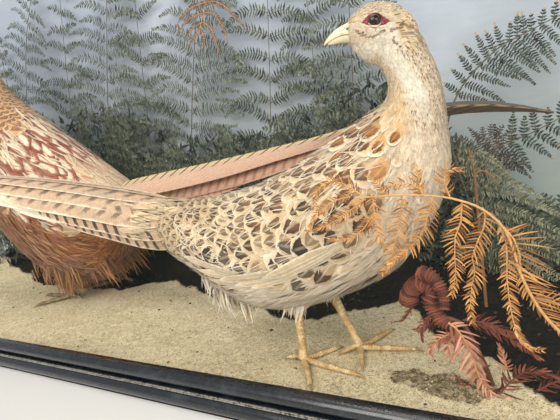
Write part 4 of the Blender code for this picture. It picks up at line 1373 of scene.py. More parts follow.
def claw(base, ahead, up, length, radius):
    rings = []
    for t in np.linspace(0, 1, 9):
        centre = Vector(base) + Vector(ahead) * length * t - Vector(up) * length * 0.42 * t * t
        thin = radius * (1 - t) ** 0.75 + 0.12 * mm
        side = Vector(ahead).cross(Vector(up)).normalized()
        rings.append(ringAt(centre, Vector(up) * thin, side * 0.75 * thin, 10))
    return rings


def joinLofts(name, parts, finish):
    # several closed tubes as one mesh, each point keeping its band number
    points, faces, bands = [], [], []
    for rings, band in parts:
        n, m = len(rings), len(rings[0])
        faces += tubeFaces(n, m, len(points))
        points += [p for ring in rings for p in ring]
        bands += band if band else [0.6] * (n * m)
    mesh = outward(meshFrom(name, points, faces))
    onPoints(mesh, "band", bands)
    return addObject(name, mesh, finish)


def makeLeg(name, body, shape, thick, scales, horn):
    ankle, heel, toes = shape
    toWorld = body.frame
    ankle, heel = Vector(ankle) * mm, Vector(heel) * mm
    top = ankle + (ankle - heel).normalized() * 6 * mm
    shank = [top, ankle, ankle.lerp(heel, 0.35), ankle.lerp(heel, 0.75), heel + Vector((0, 0, 0.4 * mm))]
    radii = [r * mm * thick for r in (4.6, 4.2, 3.25, 3.2, 4.1)]
    up = toWorld.to_3x3() @ Vector((1, 0, 0))
    parts = [scaledTube([toWorld @ p for p in shank], radii, 3.3 * mm * thick, up, 3)]
    claws = []
    for k, (bearing, length) in enumerate(toes):
        hind = k == 3
        across = Vector((cos(radians(bearing)), sin(radians(bearing)), 0))
        points, sizes = [], []
        for t, height, radius in ((-0.03, 5.0, 2.7), (0.16, 4.4, 2.75), (0.34, 3.6, 2.35), (0.44, 3.9, 2.6),
                                  (0.6, 3.0, 2.1), (0.7, 3.2, 2.2), (0.84, 2.6, 1.5)):
            lift = 3.2 * (1 - t) if hind else 0.0
            floor = heel.z / mm - 5.0 * thick
            where = heel + across * length * t * mm
            points.append(toWorld @ Vector((where.x, where.y, (floor + (height + lift - 0.7) * thick) * mm)))
            sizes.append(radius * (0.8 if hind else 0.95) * mm * thick)
        parts.append(scaledTube(points, sizes, 2.2 * mm * thick, (0, 0, 1), 7 + k, 0.9))
        ahead = (points[-1] - points[-2]).normalized()
        claws.append((claw(points[-1] - ahead * 1.0 * mm, ahead, (0, 0, 1), (length * 0.17 + 1.5) * mm,
                           1.45 * mm * thick), None))
    leg = joinLofts(name, parts, scales)
    nails = joinLofts(name + "Claws", claws, horn)
    return leg, nails


def makeLegs():
    nail = grainy("clawHorn", 0.35, 500, "77603f", "b59c6c", Specular_IOR_Level=0.5)
    for bird, body, thick, light, dark in (("hen", henBody, 1.0, "f2dba6", "c79f62"),
                                           ("cock", cockBody, 1.2, "9b8a6a", "6d5c40")):
        scales = legFinish(bird + "Scales", light, dark)
        for word, shape in legShape[bird].items():
            leg, nails = makeLeg(bird + "Leg" + word.capitalize(), body, shape, thick, scales, nail)
            keep(leg, "leg_scales", *(["hen_leg_" + word] if bird == "hen" else []))
            keep(nails, "leg_scales")


# ---- tails: long vanes, each along its own curve ----

def addLong(coat, points, ups, wide, widths=None, fold=0.12, tone=0.5, mark=1.0, tint=(1, 1, 1),
            spot=(0.5, 0.5)):
    # one long vane along world points, roof-shaped across, closed underneath
    pattern = coat.pattern
    s, t, w = pattern["s"], pattern["t"], pattern["wide"]
    path, up = np.asarray(points, float), np.asarray(ups, float)
    rows = s * (len(path) - 1)
    place = catmull(path, rows)
    ahead = catmull(path, np.minimum(rows + 0.2, len(path) - 1)) - catmull(path, np.maximum(rows - 0.2, 0))
    ahead /= np.linalg.norm(ahead, axis=1)[:, None]
    lift = np.stack([np.interp(s, np.linspace(0, 1, len(up)), up[:, k]) for k in range(3)], 1)
    side = np.cross(lift, ahead)
    side /= np.linalg.norm(side, axis=1)[:, None]
    lift = np.cross(ahead, side)
    if widths is not None:
        w = np.interp(s, np.linspace(0, 1, len(widths)), widths) * np.minimum(1, w * 1.4)
    out = (t * w * wide / 2)[:, None] * mm
    high = (fold * wide * w * (1 - np.abs(t) ** 1.3) + 0.5)[:, None] * mm
    coat.feathers.append((place + side * out + lift * high, tone, mark, colourOf(tint), spot))


tailVane = vanePattern(np.linspace(0, 1, 25).tolist(), 3, (
    0.3, 0.5, 0.7, 0.82, 0.9, 0.95, 1, 1, 1, 1, 1, 1, 1, 1, 1, 1, 1, 0.98, 0.96, 0.93, 0.88, 0.8, 0.66, 0.46,
    0.16))

henTail = {
    "base": (-96, 0, 141.5),
    "length": 240,
    "rise": 51.0,
    # root across and down, tip across and down, length, width, lean in degrees, marks, look
    "feathers": [
        (14.5, 35, 11.5, 27, 0.56, 21, 84, 1.0, "bar"),
        (11.5, 30, 8.5, 25, 0.80, 18, 82, 0.0, "pale"),
        (16.0, 25, 12.5, 20, 0.66, 23, 78, 1.0, "bar"),
        (12.0, 20, 9.0, 18, 0.97, 18, 74, 0.1, "pale"),
        (15.0, 14, 11.5, 12.5, 0.84, 24, 64, 0.7, "rib"),
        (8.0, 4.5, 6.0, 5.5, 0.97, 24, 44, 0.7, "rib"),
        (2.6, 0.5, 2.2, 1.0, 1.0, 20, 22, 0.7, "rib"),
    ],
}

tailLooks = {
    "rib": {
        "ground": ("bb9d80", 0.9), "groundWide": (0.82, 1.0), "bars": (12.5, -0.7, 0.1, "3f2a1c"),
        "barWide": (0.30, 0.72), "edge": ("cream", 0.6), "edgeWide": (0.84, 1.02), "shaft": ("d6b891", 0.35),
        "barbs": 150, "barbShade": 0.04, "ragged": 220, "mottle": 0.8,
    },
    "bar": {
        "ground": ("b99a7c", 0.9), "groundWide": (0.82, 1.0), "bars": (14.0, 0.6, 0.1, "3d291b"),
        "edge": ("d9c2a0", 0.5), "edgeWide": (0.84, 1.02), "shaft": ("cfae88", 0.4), "barbs": 150,
        "barbShade": 0.04, "ragged": 260, "mottle": 0.8,
    },
    "pale": {
        "ground": ("c9b696", 0.6), "edge": ("white", 0.8), "shaft": ("cream", 0.8), "barbs": 150,
        "barbShade": 0.07, "mottle": 0.6,
    },
    "cock": {
        "ground": ("d9b295", 0.9), "bars": (26.0, 0.5, 0.0, "b98470"), "barbs": 260, "barbLean": 40,
        "barbShade": 0.07,
    },
}


def makeHenTail():
    rng = np.random.default_rng(31)
    coats = {name: Coat(tailVane) for name in ("rib", "bar", "pale")}
    base = np.array(henTail["base"], float)
    for k, (y0, down0, y1, down1, share, wide, lean, mark, look) in enumerate(henTail["feathers"]):
        for side in (1, -1):
            length = henTail["length"] * share
            slope = henTail["rise"] / henTail["length"]
            points, ups = [], []
            for t in np.linspace(0, 1, 7):
                y = side * (y0 + (y1 - y0) * t + 1.5 * sin(pi * t))
                down = down0 + (down1 - down0) * t
                along = length * t
                z = slope * along - down + 3.0 * sin(pi * along / henTail["length"])
                points.append((base[0] - along, y, base[2] + z))
                tilt = radians(lean - 10 * t)
                ups.append((0.10, side * sin(tilt), cos(tilt)))
            shift = rng.uniform(-0.6, 0.6)
            points = henBody.placed(np.array(points) + vec(0, 0, shift))
            tint = blendTo("cream", rng.uniform(0.1, 0.4), "pinkBuff")
            if look == "pale":
                tint = "white"
            addLong(coats[look], points, np.array(ups) @ henBody.turn.T, wide, tint=tint, mark=mark,
                    tone=rng.random(), spot=(0.1 + 0.1 * k, 0.5 + 0.3 * side), fold=0.10)
    for name, coat in coats.items():
        coat.done("henTail" + name.capitalize(), tailLooks[name])
    # the soft core that carries the tail feathers
    rings = []
    for t in np.linspace(0, 1, 16):
        along = 95 * t
        drop, wide, slim = 38 - 22 * t, 12 - 6 * t, 1 - 0.5 * t
        middle = base + vec(-along, 0, 0.2 * along - drop / 2 - 1)
        rings.append(henBody.placed(ringAt(middle, (0, 0, drop / 2 * slim), (0, wide * slim, 0), 20)))
    finish = grainy("tailCore", 0.8, 300, "b8a184", "dccbb0")
    keepLoft("henTailCore", rings, finish, "hen_plumage", "hen_tail")


def cockTailFinish():
    # a dusty pink vane with a yellow ridge, black ticks beside the ridge, darker and browner to the tip
    g = Graph("cockTailLong", 0.5, Sheen_Weight=0.2, Specular_IOR_Level=0.35)
    across, along = g.uv("vane")
    off = abs(across - 0.5) * 2
    place = g.place()
    ragged = g.noise(place, 500, 3)
    late = g.step(along, 0.55, 0.78)
    hair = g.noise(g.stretched(place, (900, 900, 900), (0, 0.7, 0)), 1.0, 2)
    lines = g.maths("SINE", (along * 170 - off * 16 + ragged * 3) * fullTurn)
    vane = g.mix(g.step(lines * 0.6 + hair, 0.2, 1.3), "e2c0a2", "ad8064")
    vane = g.mix(g.step(off, 0.50, 0.9) * 0.35, vane, "c6957c")
    vane = g.mix(late, vane, "4d3a27")
    ridge = (1 - g.step(off + (ragged - 0.5) * 0.08, 0.14, 0.22)) * (1 - late * 0.6)
    colour = g.mix(ridge, vane, "d8bd84")
    wave = g.maths("SINE", (along * 33 + off * 2.0) * fullTurn)
    tick = g.step(wave + (ragged - 0.5) * 0.5, 0.72, 0.92) * (1 - g.step(off, 0.26 , 0.40))
    tick = g.most(tick, g.step(wave, 0.2, 0.5) * late * 0.7)
    colour = g.mix(tick, colour, "2c2019")
    colour = g.shade(colour, 0.85 + g.noise(place, 1800, 2) * 0.3)
    g.relief(lines + hair, 0.0003, 0.6)
    return g.paint(colour)


cockTail = {
    "start": (186, 0, 139),
    "tip": (-312, 0, 166),
    "widths": (0.75, 1, 1, 0.95, 0.85, 0.66, 0.46, 0.36, 0.30, 0.25, 0.18),
    # aside, down, share of the length, width, lean in degrees: two long feathers, then pairs at the sides
    "long": ((3.5, 0.0, 1.0, 44, 16), (-3.5, 7.0, 0.90, 44, 20)),
    "side": ((6.5, 11, 0.62, 30, 44), (10, 17, 0.45, 26, 58), (12, 24, 0.32, 24, 68)),
}


def makeCockTail():
    coat = Coat(tailVane)
    plain = Coat(tailVane)
    rng = np.random.default_rng(41)
    start, tip, widths = (np.array(cockTail[key], float) for key in ("start", "tip", "widths"))
    rows = [(*row, coat) for row in cockTail["long"]] + [(*row, plain) for row in cockTail["side"]]
    for y, down, share, wide, lean, target in rows:
        for side in ((1,) if target is coat else (1, -1)):
            points, ups = [], []
            for t in np.linspace(0, 1, 15):
                far = t * share
                ridge = start + (tip - start) * far + vec(0, 0, 21 * sin(pi * far**3))
                thin = 1 - 0.75 * far
                points.append(ridge + vec(0, (side * y if target is plain else y) * thin, -down * thin - 4))
                tilt = radians(lean) * (side if target is plain else copysign(1, y))
                if target is coat:
                    late = float(ramp01(far, 0.5, 0.8))
                    tilt = tilt * (1 - late) + radians(62) * late
                ups.append((0.0, sin(tilt), cos(tilt)))
            tint = blendTo("d9b092", rng.random() * 0.4, "bb9072")
            addLong(target, cockBody.placed(points), np.array(ups) @ cockBody.turn.T, wide,
                    widths=widths if target is coat else None, fold=0.36 if target is coat else 0.12,
                    tint=tint,
                    mark=0.9, tone=rng.random(), spot=(0.2 + 0.01 * down, 0.5 + 0.02 * y * side))
    keep(coat.piece("cockTailLong", cockTailFinish()), "cock_plumage")
    plain.done("cockTailSide", tailLooks["cock"], "cock_plumage")


# ---- the cock's plumage, plainer than the hen's ----

cockLooks = {
    "gold": {
        "ground": ("c39a68", 0.6), "spot": (0.74, 0.20, 0.8, 0.35), "spotColours": ("8a5f38", "5c3d26"),
        "edge": ("dec39a", 0.7), "gloss": 0.4, "roughness": 0.5,
    },
    "mantle": {
        "ground": ("eadabb", 0.9), "groundWide": (0.14, 0.55), "edge": ("7a4532", 0.6),
        "edgeWide": (0.60, 0.95),
        "gloss": 0.4, "ragged": 120, "mottle": 0.9,
    },
    "rump": {
        "ground": ("a97752", 0.5), "edge": ("e3cfa9", 0.8), "barbs": 8, "shaft": ("ecd9b6", 0.8),
        "gloss": 0.4,
        "mottle": 0.8, "ragged": 200,
    },
    "head": {"roughness": 0.32, "gloss": 0.8, "sheen": 0.35, "edge": ("1d3a33", 0.5)},
    "fluff": {"edge": ("d3a566", 0.4), "barbs": 3, "barbLean": 9, "sheen": 0.3, "mottle": 0.6},
}

cockLay = {
    # columns, first and last section, rows: section and how much of each feather shows
    "body": (28, 0.05, 4.5, ((0, 8), (2, 13), (4.5, 16))),
    "front": (56, 4.2, 13.2, ((4.2, 8.5), (6, 8), (8.5, 5.5), (11, 3.6), (13, 3.0))),
}


cockTufts = {
    "colours": ("965728", "bd8c53", "a46c38", "452513"),
    # middle and spread of the roots on the left, number of strands, way they hang, shortest and longest
    "clumps": (
        ((262, 34, 62), (30, 16, 14), 260, (-0.15, 0, -1), (22, 44)),
        ((262, 34, 46), (16, 12, 12), 160, (-0.2, 0, -1), (20, 32)),
        ((205, 20, 58), (20, 20, 14), 130, (-0.5, 0, -1), (18, 32)),
        ((300, 30, 56), (26, 18, 14), 110, (-0.1, 0, -1), (16, 30)),
    ),
}


def makeCockCoat(surface):
    coats = {name: Coat(vane, surface) for name, vane in (
        ("gold", broadVane), ("mantle", pointedVane), ("rump", pointedVane), ("head", smallVane),
        ("fluff", wispVane))}
    last = cockBody.last

    def put(along, angle, place, way, step, gap, rng):
        a = abs(degrees(angle)) + rng.normal(0, 4)
        spot = spotAt(along, last, angle)
        shared = {"tone": rng.random(), "spot": spot, "base": 0.4 + rng.uniform(0, 0.5)}
        wide = gap * 1.5 * rng.uniform(0.85, 1.15)
        way = unit(way) + rng.normal(0, 0.07, 3)
        if along > 8.9:
            collar = 8.9 < along < 9.5
            tint = "e9e2d2" if collar else blendTo("123430", rng.random() * 0.6, "27204a")
            coats["head"].add(place, way, step * 2.4, wide, 1.2, mark=0, tint=tint, **shared)
        elif a > 86 and along < 6.0:
            for _ in range(8):
                nudge = rng.normal(0, 5.5, 3) * mm
                other = "c9965a" if rng.random() < 0.5 else "4f2912"
                tint = blendTo("a5591f", rng.random() * 0.8, other)
                coats["fluff"].add(place + nudge, way + rng.normal(0, 0.2, 3) + vec(0, 0, -0.25),
                                   rng.uniform(20, 34), rng.uniform(1.8, 3.8), 3.4, tint=tint,
                                   tone=rng.random(),
                                   spot=spot, base=0.4 + rng.random(), sweep=rng.uniform(-0.22, 0.22))
        elif along > 4.4:
            tint = blendTo("b98a58", rng.random() * 0.6, "96653a")
            coats["gold"].add(place, way, step * 2.4, wide * 1.1, 2.4, mark=0.9, tint=tint, camber=0.06,
                              **shared)
        elif along > 2.7:
            tint = blendTo("84432f", rng.random() * 0.7, "b57a5a")
            coats["mantle"].add(place, way, step * rng.uniform(3.0, 4.6), wide * 0.75, 2.0, tint=tint,
                                camber=0.03, mark=1.0, sweep=rng.uniform(-0.12, 0.12), **shared)
            for _ in range(2):
                nudge = rng.normal(0, 7, 3) * mm
                tint = blendTo("efdfc0", rng.random() ** 1.6, "8f4634")
                coats["fluff"].add(place + nudge, way + rng.normal(0, 0.10, 3), rng.uniform(22, 44),
                                   rng.uniform(1.0, 2.8), 2.2, tint=tint, tone=rng.random(), spot=spot,
                                   base=1.8 + rng.random(), sweep=rng.uniform(-0.12, 0.12))
        else:
            tint = blendTo("b98a66", rng.random() ** 0.7, "e6d4ae")
            for _ in range(2):
                nudge = rng.normal(0, 4, 3) * mm
                coats["rump"].add(place + nudge, way + rng.normal(0, 0.08, 3), step * rng.uniform(3.0, 4.6),
                                  wide * 0.5, 2.4, tint=tint, camber=0.08, sweep=rng.uniform(-0.12, 0.12),
                                  **shared)

    for seed, (columns, start, end, rows) in enumerate(cockLay.values(), 17):
        layColumns(cockBody, columns, start, end, rows, put, seed)
    # loose golden tufts that hang from the thighs over the legs
    for side in (1, -1):
        clumps = [((x, y * side, z), *rest) for (x, y, z), *rest in cockTufts["clumps"]]
        hang(coats["fluff"], np.random.default_rng(19 + side), cockBody, clumps, cockTufts["colours"])
    for name, coat in coats.items():
        coat.done("cock" + name.capitalize(), cockLooks[name], "cock_plumage")


def makeCockHead():
    # red wattles, eyes and a pale bill, in the cock's own millimetres
    wattle = Graph("wattle", 0.55)
    wattle.relief(wattle.cells(wattle.place(), 900), 0.0005)
    grain = wattle.noise(wattle.place(), 500, 3)
    red = wattle.paint(wattle.mix(grain, "7a0f14", "b3262a"))
    pale = grainy("cockBill", 0.35, 400, "b3a272", "ddd0a4", Specular_IOR_Level=0.5)
    for word, side in (("Left", 1), ("Right", -1)):
        rings = []
        for polar in np.linspace(0.1, pi - 0.1, 16):
            ring = []
            for a in turns(24):
                lobe = 1 + 0.12 * sin(3 * a + 0.6)
                way = np.array([sin(polar) * cos(a) * lobe * 11.5, -cos(polar) * 2.4,
                                sin(polar) * sin(a) * lobe * 9.5])
                ring.append((vec(409, side * 12.2, 421.5) + way * vec(1, side, 1)))
            rings.append(cockBody.placed(ring))
        keepLoft("cockWattle" + word, rings, red, "cock_plumage")
        centre = cockBody.placed([410, side * 12.0, 426.0])
        axis = cockBody.turn @ vec(0.1, side, 0.05)
        mesh = sphereMesh("cockEye" + word, centre, axis, 4.6 * mm, 28, 18)
        keep(addObject("cockEye" + word, mesh, eyeFinish()), "glass_eye")
    rings = []
    for t in np.linspace(0, 1, 16):
        x = 431 + 34 * t
        top = 428 - 4 * t - 14 * t**2.2
        low = 409.0 - 4 * t
        wide = 6.6 * (1 - t) ** 0.7 + 0.8
        ring = ringAt((x, 0, (top + low) / 2), (0, 0, (top - low) / 2), (0, wide, 0), 20)
        rings.append(cockBody.placed(ring))
    keepLoft("cockBill", rings, pale, "horn")


# ---- the ground: sand in front, dark peat behind that is also painted near-black as shade, pebbles and litter ----

caseInside = {"left": -0.485, "right": 0.485, "front": -0.14875, "back": 0.15725, "gap": 0.4}

ground = {
    "level": 8.0,
    "bottom": 4.4,
    "step": 2.1,
    # mounds: x, y, spread in x, spread in y, height
    "mounds": [(55, 88, 105, 34, 24), (-470, 80, 120, 52, 38), (-120, 125, 140, 34, 22),
               (285, 95, 130, 36, 18),
               (440, 20, 60, 80, 12), (350, -85, 45, 26, 3)],
    # where the sand ends towards the back, from left to right, and the near-black ground of peat and painted
    # shade starts, also behind the hen's legs; and a mossy patch: middle and reach
    "shore": [(-485, 64), (-377, 38), (-330, 24), (-271, 17), (-175, 14), (-109, 10), (-85, 30), (-66, 47),
              (-43, 48),
              (14, 26), (49, 14), (88, -4), (134, -10), (160, -22), (185, -26), (215, -22), (240, -10),
              (262, 10),
              (280, 24), (305, 9), (320, -26), (332, -46), (355, -50), (377, -73), (389, -88), (410, -104),
              (485, -122)],
    "moss": (346, -98, 60, 24),
    # where feet stand, the sand is level: x, y, reach
    "level ground": [(260, -75, 85), (-172, 10, 100)],
    "ripple": 0.9,
    "pebbles": 5200,
    "chips": 900,
}


def groundHeight(x, y):
    # millimetres in and out, for arrays
    x, y = np.asarray(x, float), np.asarray(y, float)
    rise = np.zeros(np.broadcast(x, y).shape)
    for mx, my, sx, sy, tall in ground["mounds"]:
        rise = rise + tall * np.exp(-(((x - mx) / sx) ** 2 + ((y - my) / sy) ** 2))
    share = np.ones(rise.shape)
    for cx, cy, reach in ground["level ground"]:
        share = share * np.clip((np.hypot(x - cx, y - cy) / reach - 0.9) / 0.5, 0, 1)
    return ground["level"] + rise * share


def peatAndShadeShare(x, y):
    # 0 on sand, 1 on the dark peat, also painted shade under the birds and at the back, that starts towards
    # the back and round the curled fronds
    edge = np.interp(x, *zip(*ground["shore"])) + 3 * np.sin(x / 19.0 + 1.3) + 2 * np.sin(x / 7.3)
    return ramp01(y, edge - 9, edge + 9)


def mossShare(x, y):
    mx, my, wide, deep = ground["moss"]
    patch = 1 - np.hypot((x - mx) / wide, (y - my) / deep)
    return ramp01(patch + 0.5 * softNoise(x, y, 9, 6) - 0.25, 0.0, 0.9)


def softNoise(x, y, scale, seed):
    # smooth values between 0 and 1 on a plane
    grid = np.random.default_rng(seed).random((256, 256))
    u, v = x / scale + 97.3, y / scale + 53.1
    i, j = np.floor(u).astype(int), np.floor(v).astype(int)
    f, g = u - i, v - j
    f, g = f * f * (3 - 2 * f), g * g * (3 - 2 * g)
    a, b = grid[i % 256, j % 256], grid[(i + 1) % 256, j % 256]
    c, d = grid[i % 256, (j + 1) % 256], grid[(i + 1) % 256, (j + 1) % 256]
    return (a * (1 - f) + b * f) * (1 - g) + (c * (1 - f) + d * f) * g


def groundTop(x, y):
    # the height with its ripples and lumps
    peat = peatAndShadeShare(x, y)
    coarse = softNoise(x, y, 26, 1) - 0.5
    fine = softNoise(x, y, 7, 2) - 0.5
    grit = softNoise(x, y, 2.4, 3) - 0.5
    calm = 1.0
    for cx, cy, reach in ground["level ground"]:
        calm = calm * np.clip(np.hypot(x - cx, y - cy) / reach - 0.4, 0.15, 1)
    lump = ground["ripple"] * (coarse * 2.4 + fine * 1.6) * calm + grit * 0.6
    wild = peat * (3.4 * coarse + 3.6 * fine + 2.2 * grit + 1.6)
    return groundHeight(x, y) + lump + wild - 0.2 + mossShare(x, y) * (0.8 + 2.5 * fine + 1.5 * grit)


def makeGround():
    gap = caseInside["gap"]
    low = vec(caseInside["left"], caseInside["front"]) / mm + gap
    high = vec(caseInside["right"], caseInside["back"]) / mm - gap
    columns = int((high[0] - low[0]) / ground["step"])
    rows = int((high[1] - low[1]) / ground["step"])
    xs, ys = np.linspace(low[0], high[0], columns + 1), np.linspace(low[1], high[1], rows + 1)
    x, y = np.meshgrid(xs, ys)
    z = np.maximum(groundTop(x, y), ground["bottom"] + 1)
    top = np.stack([x, y, z], -1).reshape(-1, 3) * mm
    wide = columns + 1
    rim = list(range(wide)) + [r * wide + columns for r in range(1, rows + 1)]
    rim += [rows * wide + c for c in range(columns - 1, -1, -1)] + [r * wide for r in range(rows - 1, 0, -1)]
    floor = top[rim].copy()
    floor[:, 2] = ground["bottom"] * mm
    c, r = np.meshgrid(np.arange(columns), np.arange(rows))
    a = (r * wide + c).ravel()
    faces = np.stack([a, a + 1, a + 1 + wide, a + wide], 1).tolist()
    n = len(top)
    faces += [(rim[k - 1], rim[k], n + k, n + (k - 1) % len(rim)) for k in range(len(rim))]
    faces.append(tuple(n + k for k in range(len(rim) - 1, -1, -1)))
    mesh = outward(meshFrom("ground", np.concatenate([top, floor]), faces, 70))
    x, y, _ = np.concatenate([top, floor]).T / mm
    onPoints(mesh, "peat", peatAndShadeShare(x, y))
    onPoints(mesh, "moss", mossShare(x, y))
    g = Graph("sandAndShadedPeat", 0.95, Specular_IOR_Level=0.2)
    place = g.place()
    coarse, middle = g.noise(place, 22, 4), g.noise(place, 240, 4, 0.7)
    grain = g.cells(place, 1500)
    speck = g.split(Wire(g, grain.socket.node.outputs["Color"]))[0]
    sand = g.mix(g.step(middle, 0.3, 0.7), "bdab7d", "ecddb6")
    sand = g.mix(g.step(coarse, 0.35, 0.7) * 0.45, sand, "efe1ba")
    sand = g.mix(g.step(speck, 0.80, 0.95) * 0.75, sand, "f4ecd2")
    sand = g.mix((1 - g.step(speck, 0.06, 0.18)) * 0.75, sand, "5a4b30")
    mossy = g.step(g.number("moss") + (middle - 0.5) * 0.9, 0.35, 0.6)
    mossy = mossy * (0.5 + g.step(middle, 0.4, 0.6) * 0.45)
    sand = g.mix(mossy, sand, g.mix(g.step(speck, 0.3, 0.9), "3f2f1c", "7d6740"))
    # near-black peat, darkened further as painted shade under the birds and at the back
    soilAndShade = g.mix(g.step(middle, 0.35, 0.65), "0c0a08", "231c14")
    soilAndShade = g.mix(g.step(speck, 0.90, 0.98) * 0.3, soilAndShade, "4a3a28")
    share = g.number("peat")
    ragged = g.step(share + (middle - 0.5) * 0.8, 0.35, 0.65)
    g.relief(grain * 0.7 + middle, 0.0009, 0.9)
    keep(addObject("ground", mesh, g.paint(g.mix(ragged, sand, soilAndShade))), "sand", "groundwork")


def pebbleShape():
    rng = np.random.default_rng(2)
    lump = bmesh.new()
    bmesh.ops.create_icosphere(lump, subdivisions=1, radius=1)
    for v in lump.verts:
        v.co *= 1 + rng.uniform(-0.22, 0.22)
        v.co.z *= 0.7
    mesh = fromBmesh("pebbleShape", lump)
    mesh.shade_smooth()
    return addObject("pebbleShape", mesh)


def makePebbles():
    rng = np.random.default_rng(9)
    shape = pebbleShape()
    left, right, front, back = (caseInside[key] / mm for key in ("left", "right", "front", "back"))
    edge = 4.0
    for name, count, (dark, light), low, high, onPeatAndShade in (
        ("pebbles", ground["pebbles"], ("7d6a45", "efe4c2"), 0.32, 0.8, False),
        ("chips", ground["chips"], ("1d1710", "5f4c33"), 0.7, 1.8, True),
    ):
        x = rng.uniform(left + edge, right - edge, count * 3)
        y = rng.uniform(front + edge, back - edge, count * 3)
        peat = peatAndShadeShare(x, y)
        near = rng.random(len(x)) < (0.08 + 0.92 * peat if onPeatAndShade else 1 - 1.6 * peat)
        x, y = x[near][:count], y[near][:count]
        size = rng.uniform(low, high, len(x))
        z = groundTop(x, y) + size * 0.2
        g = Graph(name, 0.8)
        tone = g.number("tone")
        grain = g.noise(g.place(), 1200, 3)
        g.relief(grain, 0.0003)
        finish = g.paint(g.mix(tone * 0.8 + grain * 0.25, dark, light))
        sizes = np.stack([size * rng.uniform(0.8, 1.5, len(x)), size, size * 0.8], 1) * mm
        aims = rng.uniform(-0.4, 0.4, (len(x), 3))
        aims[:, 2] = rng.uniform(0, fullTurn, len(x))
        mesh = placeCopies(name, np.stack([x, y, z], 1) * mm, aims, sizes, rng.random(len(x)), shape, finish,
                           (0.2, 0.3), 4)
        keep(addObject(name, mesh), "sand")
    bpy.data.objects.remove(shape)


# ---- bracken: stems and their pinnae, each pinna a comb of small leaflets ----

leafRoom = {"side": 480.0, "front": -147.5, "back": 156.0, "top": 514.0}


def inCase(place):
    x, y, z = np.asarray(place) / mm
    inside = abs(x) < leafRoom["side"] and leafRoom["front"] < y < leafRoom["back"]
    return inside and ground["level"] < z < leafRoom["top"]


def bladeShape(name, points):
    # a thin closed strip with three points at each station
    last = len(points) - 3
    faces = [(0, 2, 1), (last, last + 1, last + 2)]
    for a in range(0, last, 3):
        b = a + 3
        faces += [(a, a + 1, b + 1, b), (a + 1, a + 2, b + 2, b + 1), (a + 2, a, b, b + 2)]
    return addObject(name, outward(meshFrom(name, points, faces, 80)))


def leafletShape(name, stations, bend, hook=0.0):
    # one leaflet from the origin to x = 1, ridged on top; stations are (x, half width)
    points = []
    for x, half in stations:
        z, y = -bend * x * x, -hook * x * x
        points += [(x, y - half, z - 0.10 * half), (x, y, z + 0.25 * half), (x, y + half, z - 0.10 * half)]
    return bladeShape(name, points)


def ribShape(name):
    # one leaflet curled three quarters round a stem that runs along x
    points = []
    for k, a in enumerate(np.linspace(radians(-130), radians(130), 9)):
        half = 0.30 * sin(pi * (0.12 + 0.76 * k / 8)) ** 0.5
        for x, r in ((-half, 0.90), (0, 1.12), (half, 0.90)):
            points.append((x + 0.35 * abs(a), r * sin(a), r * cos(a)))
    return bladeShape(name, points)


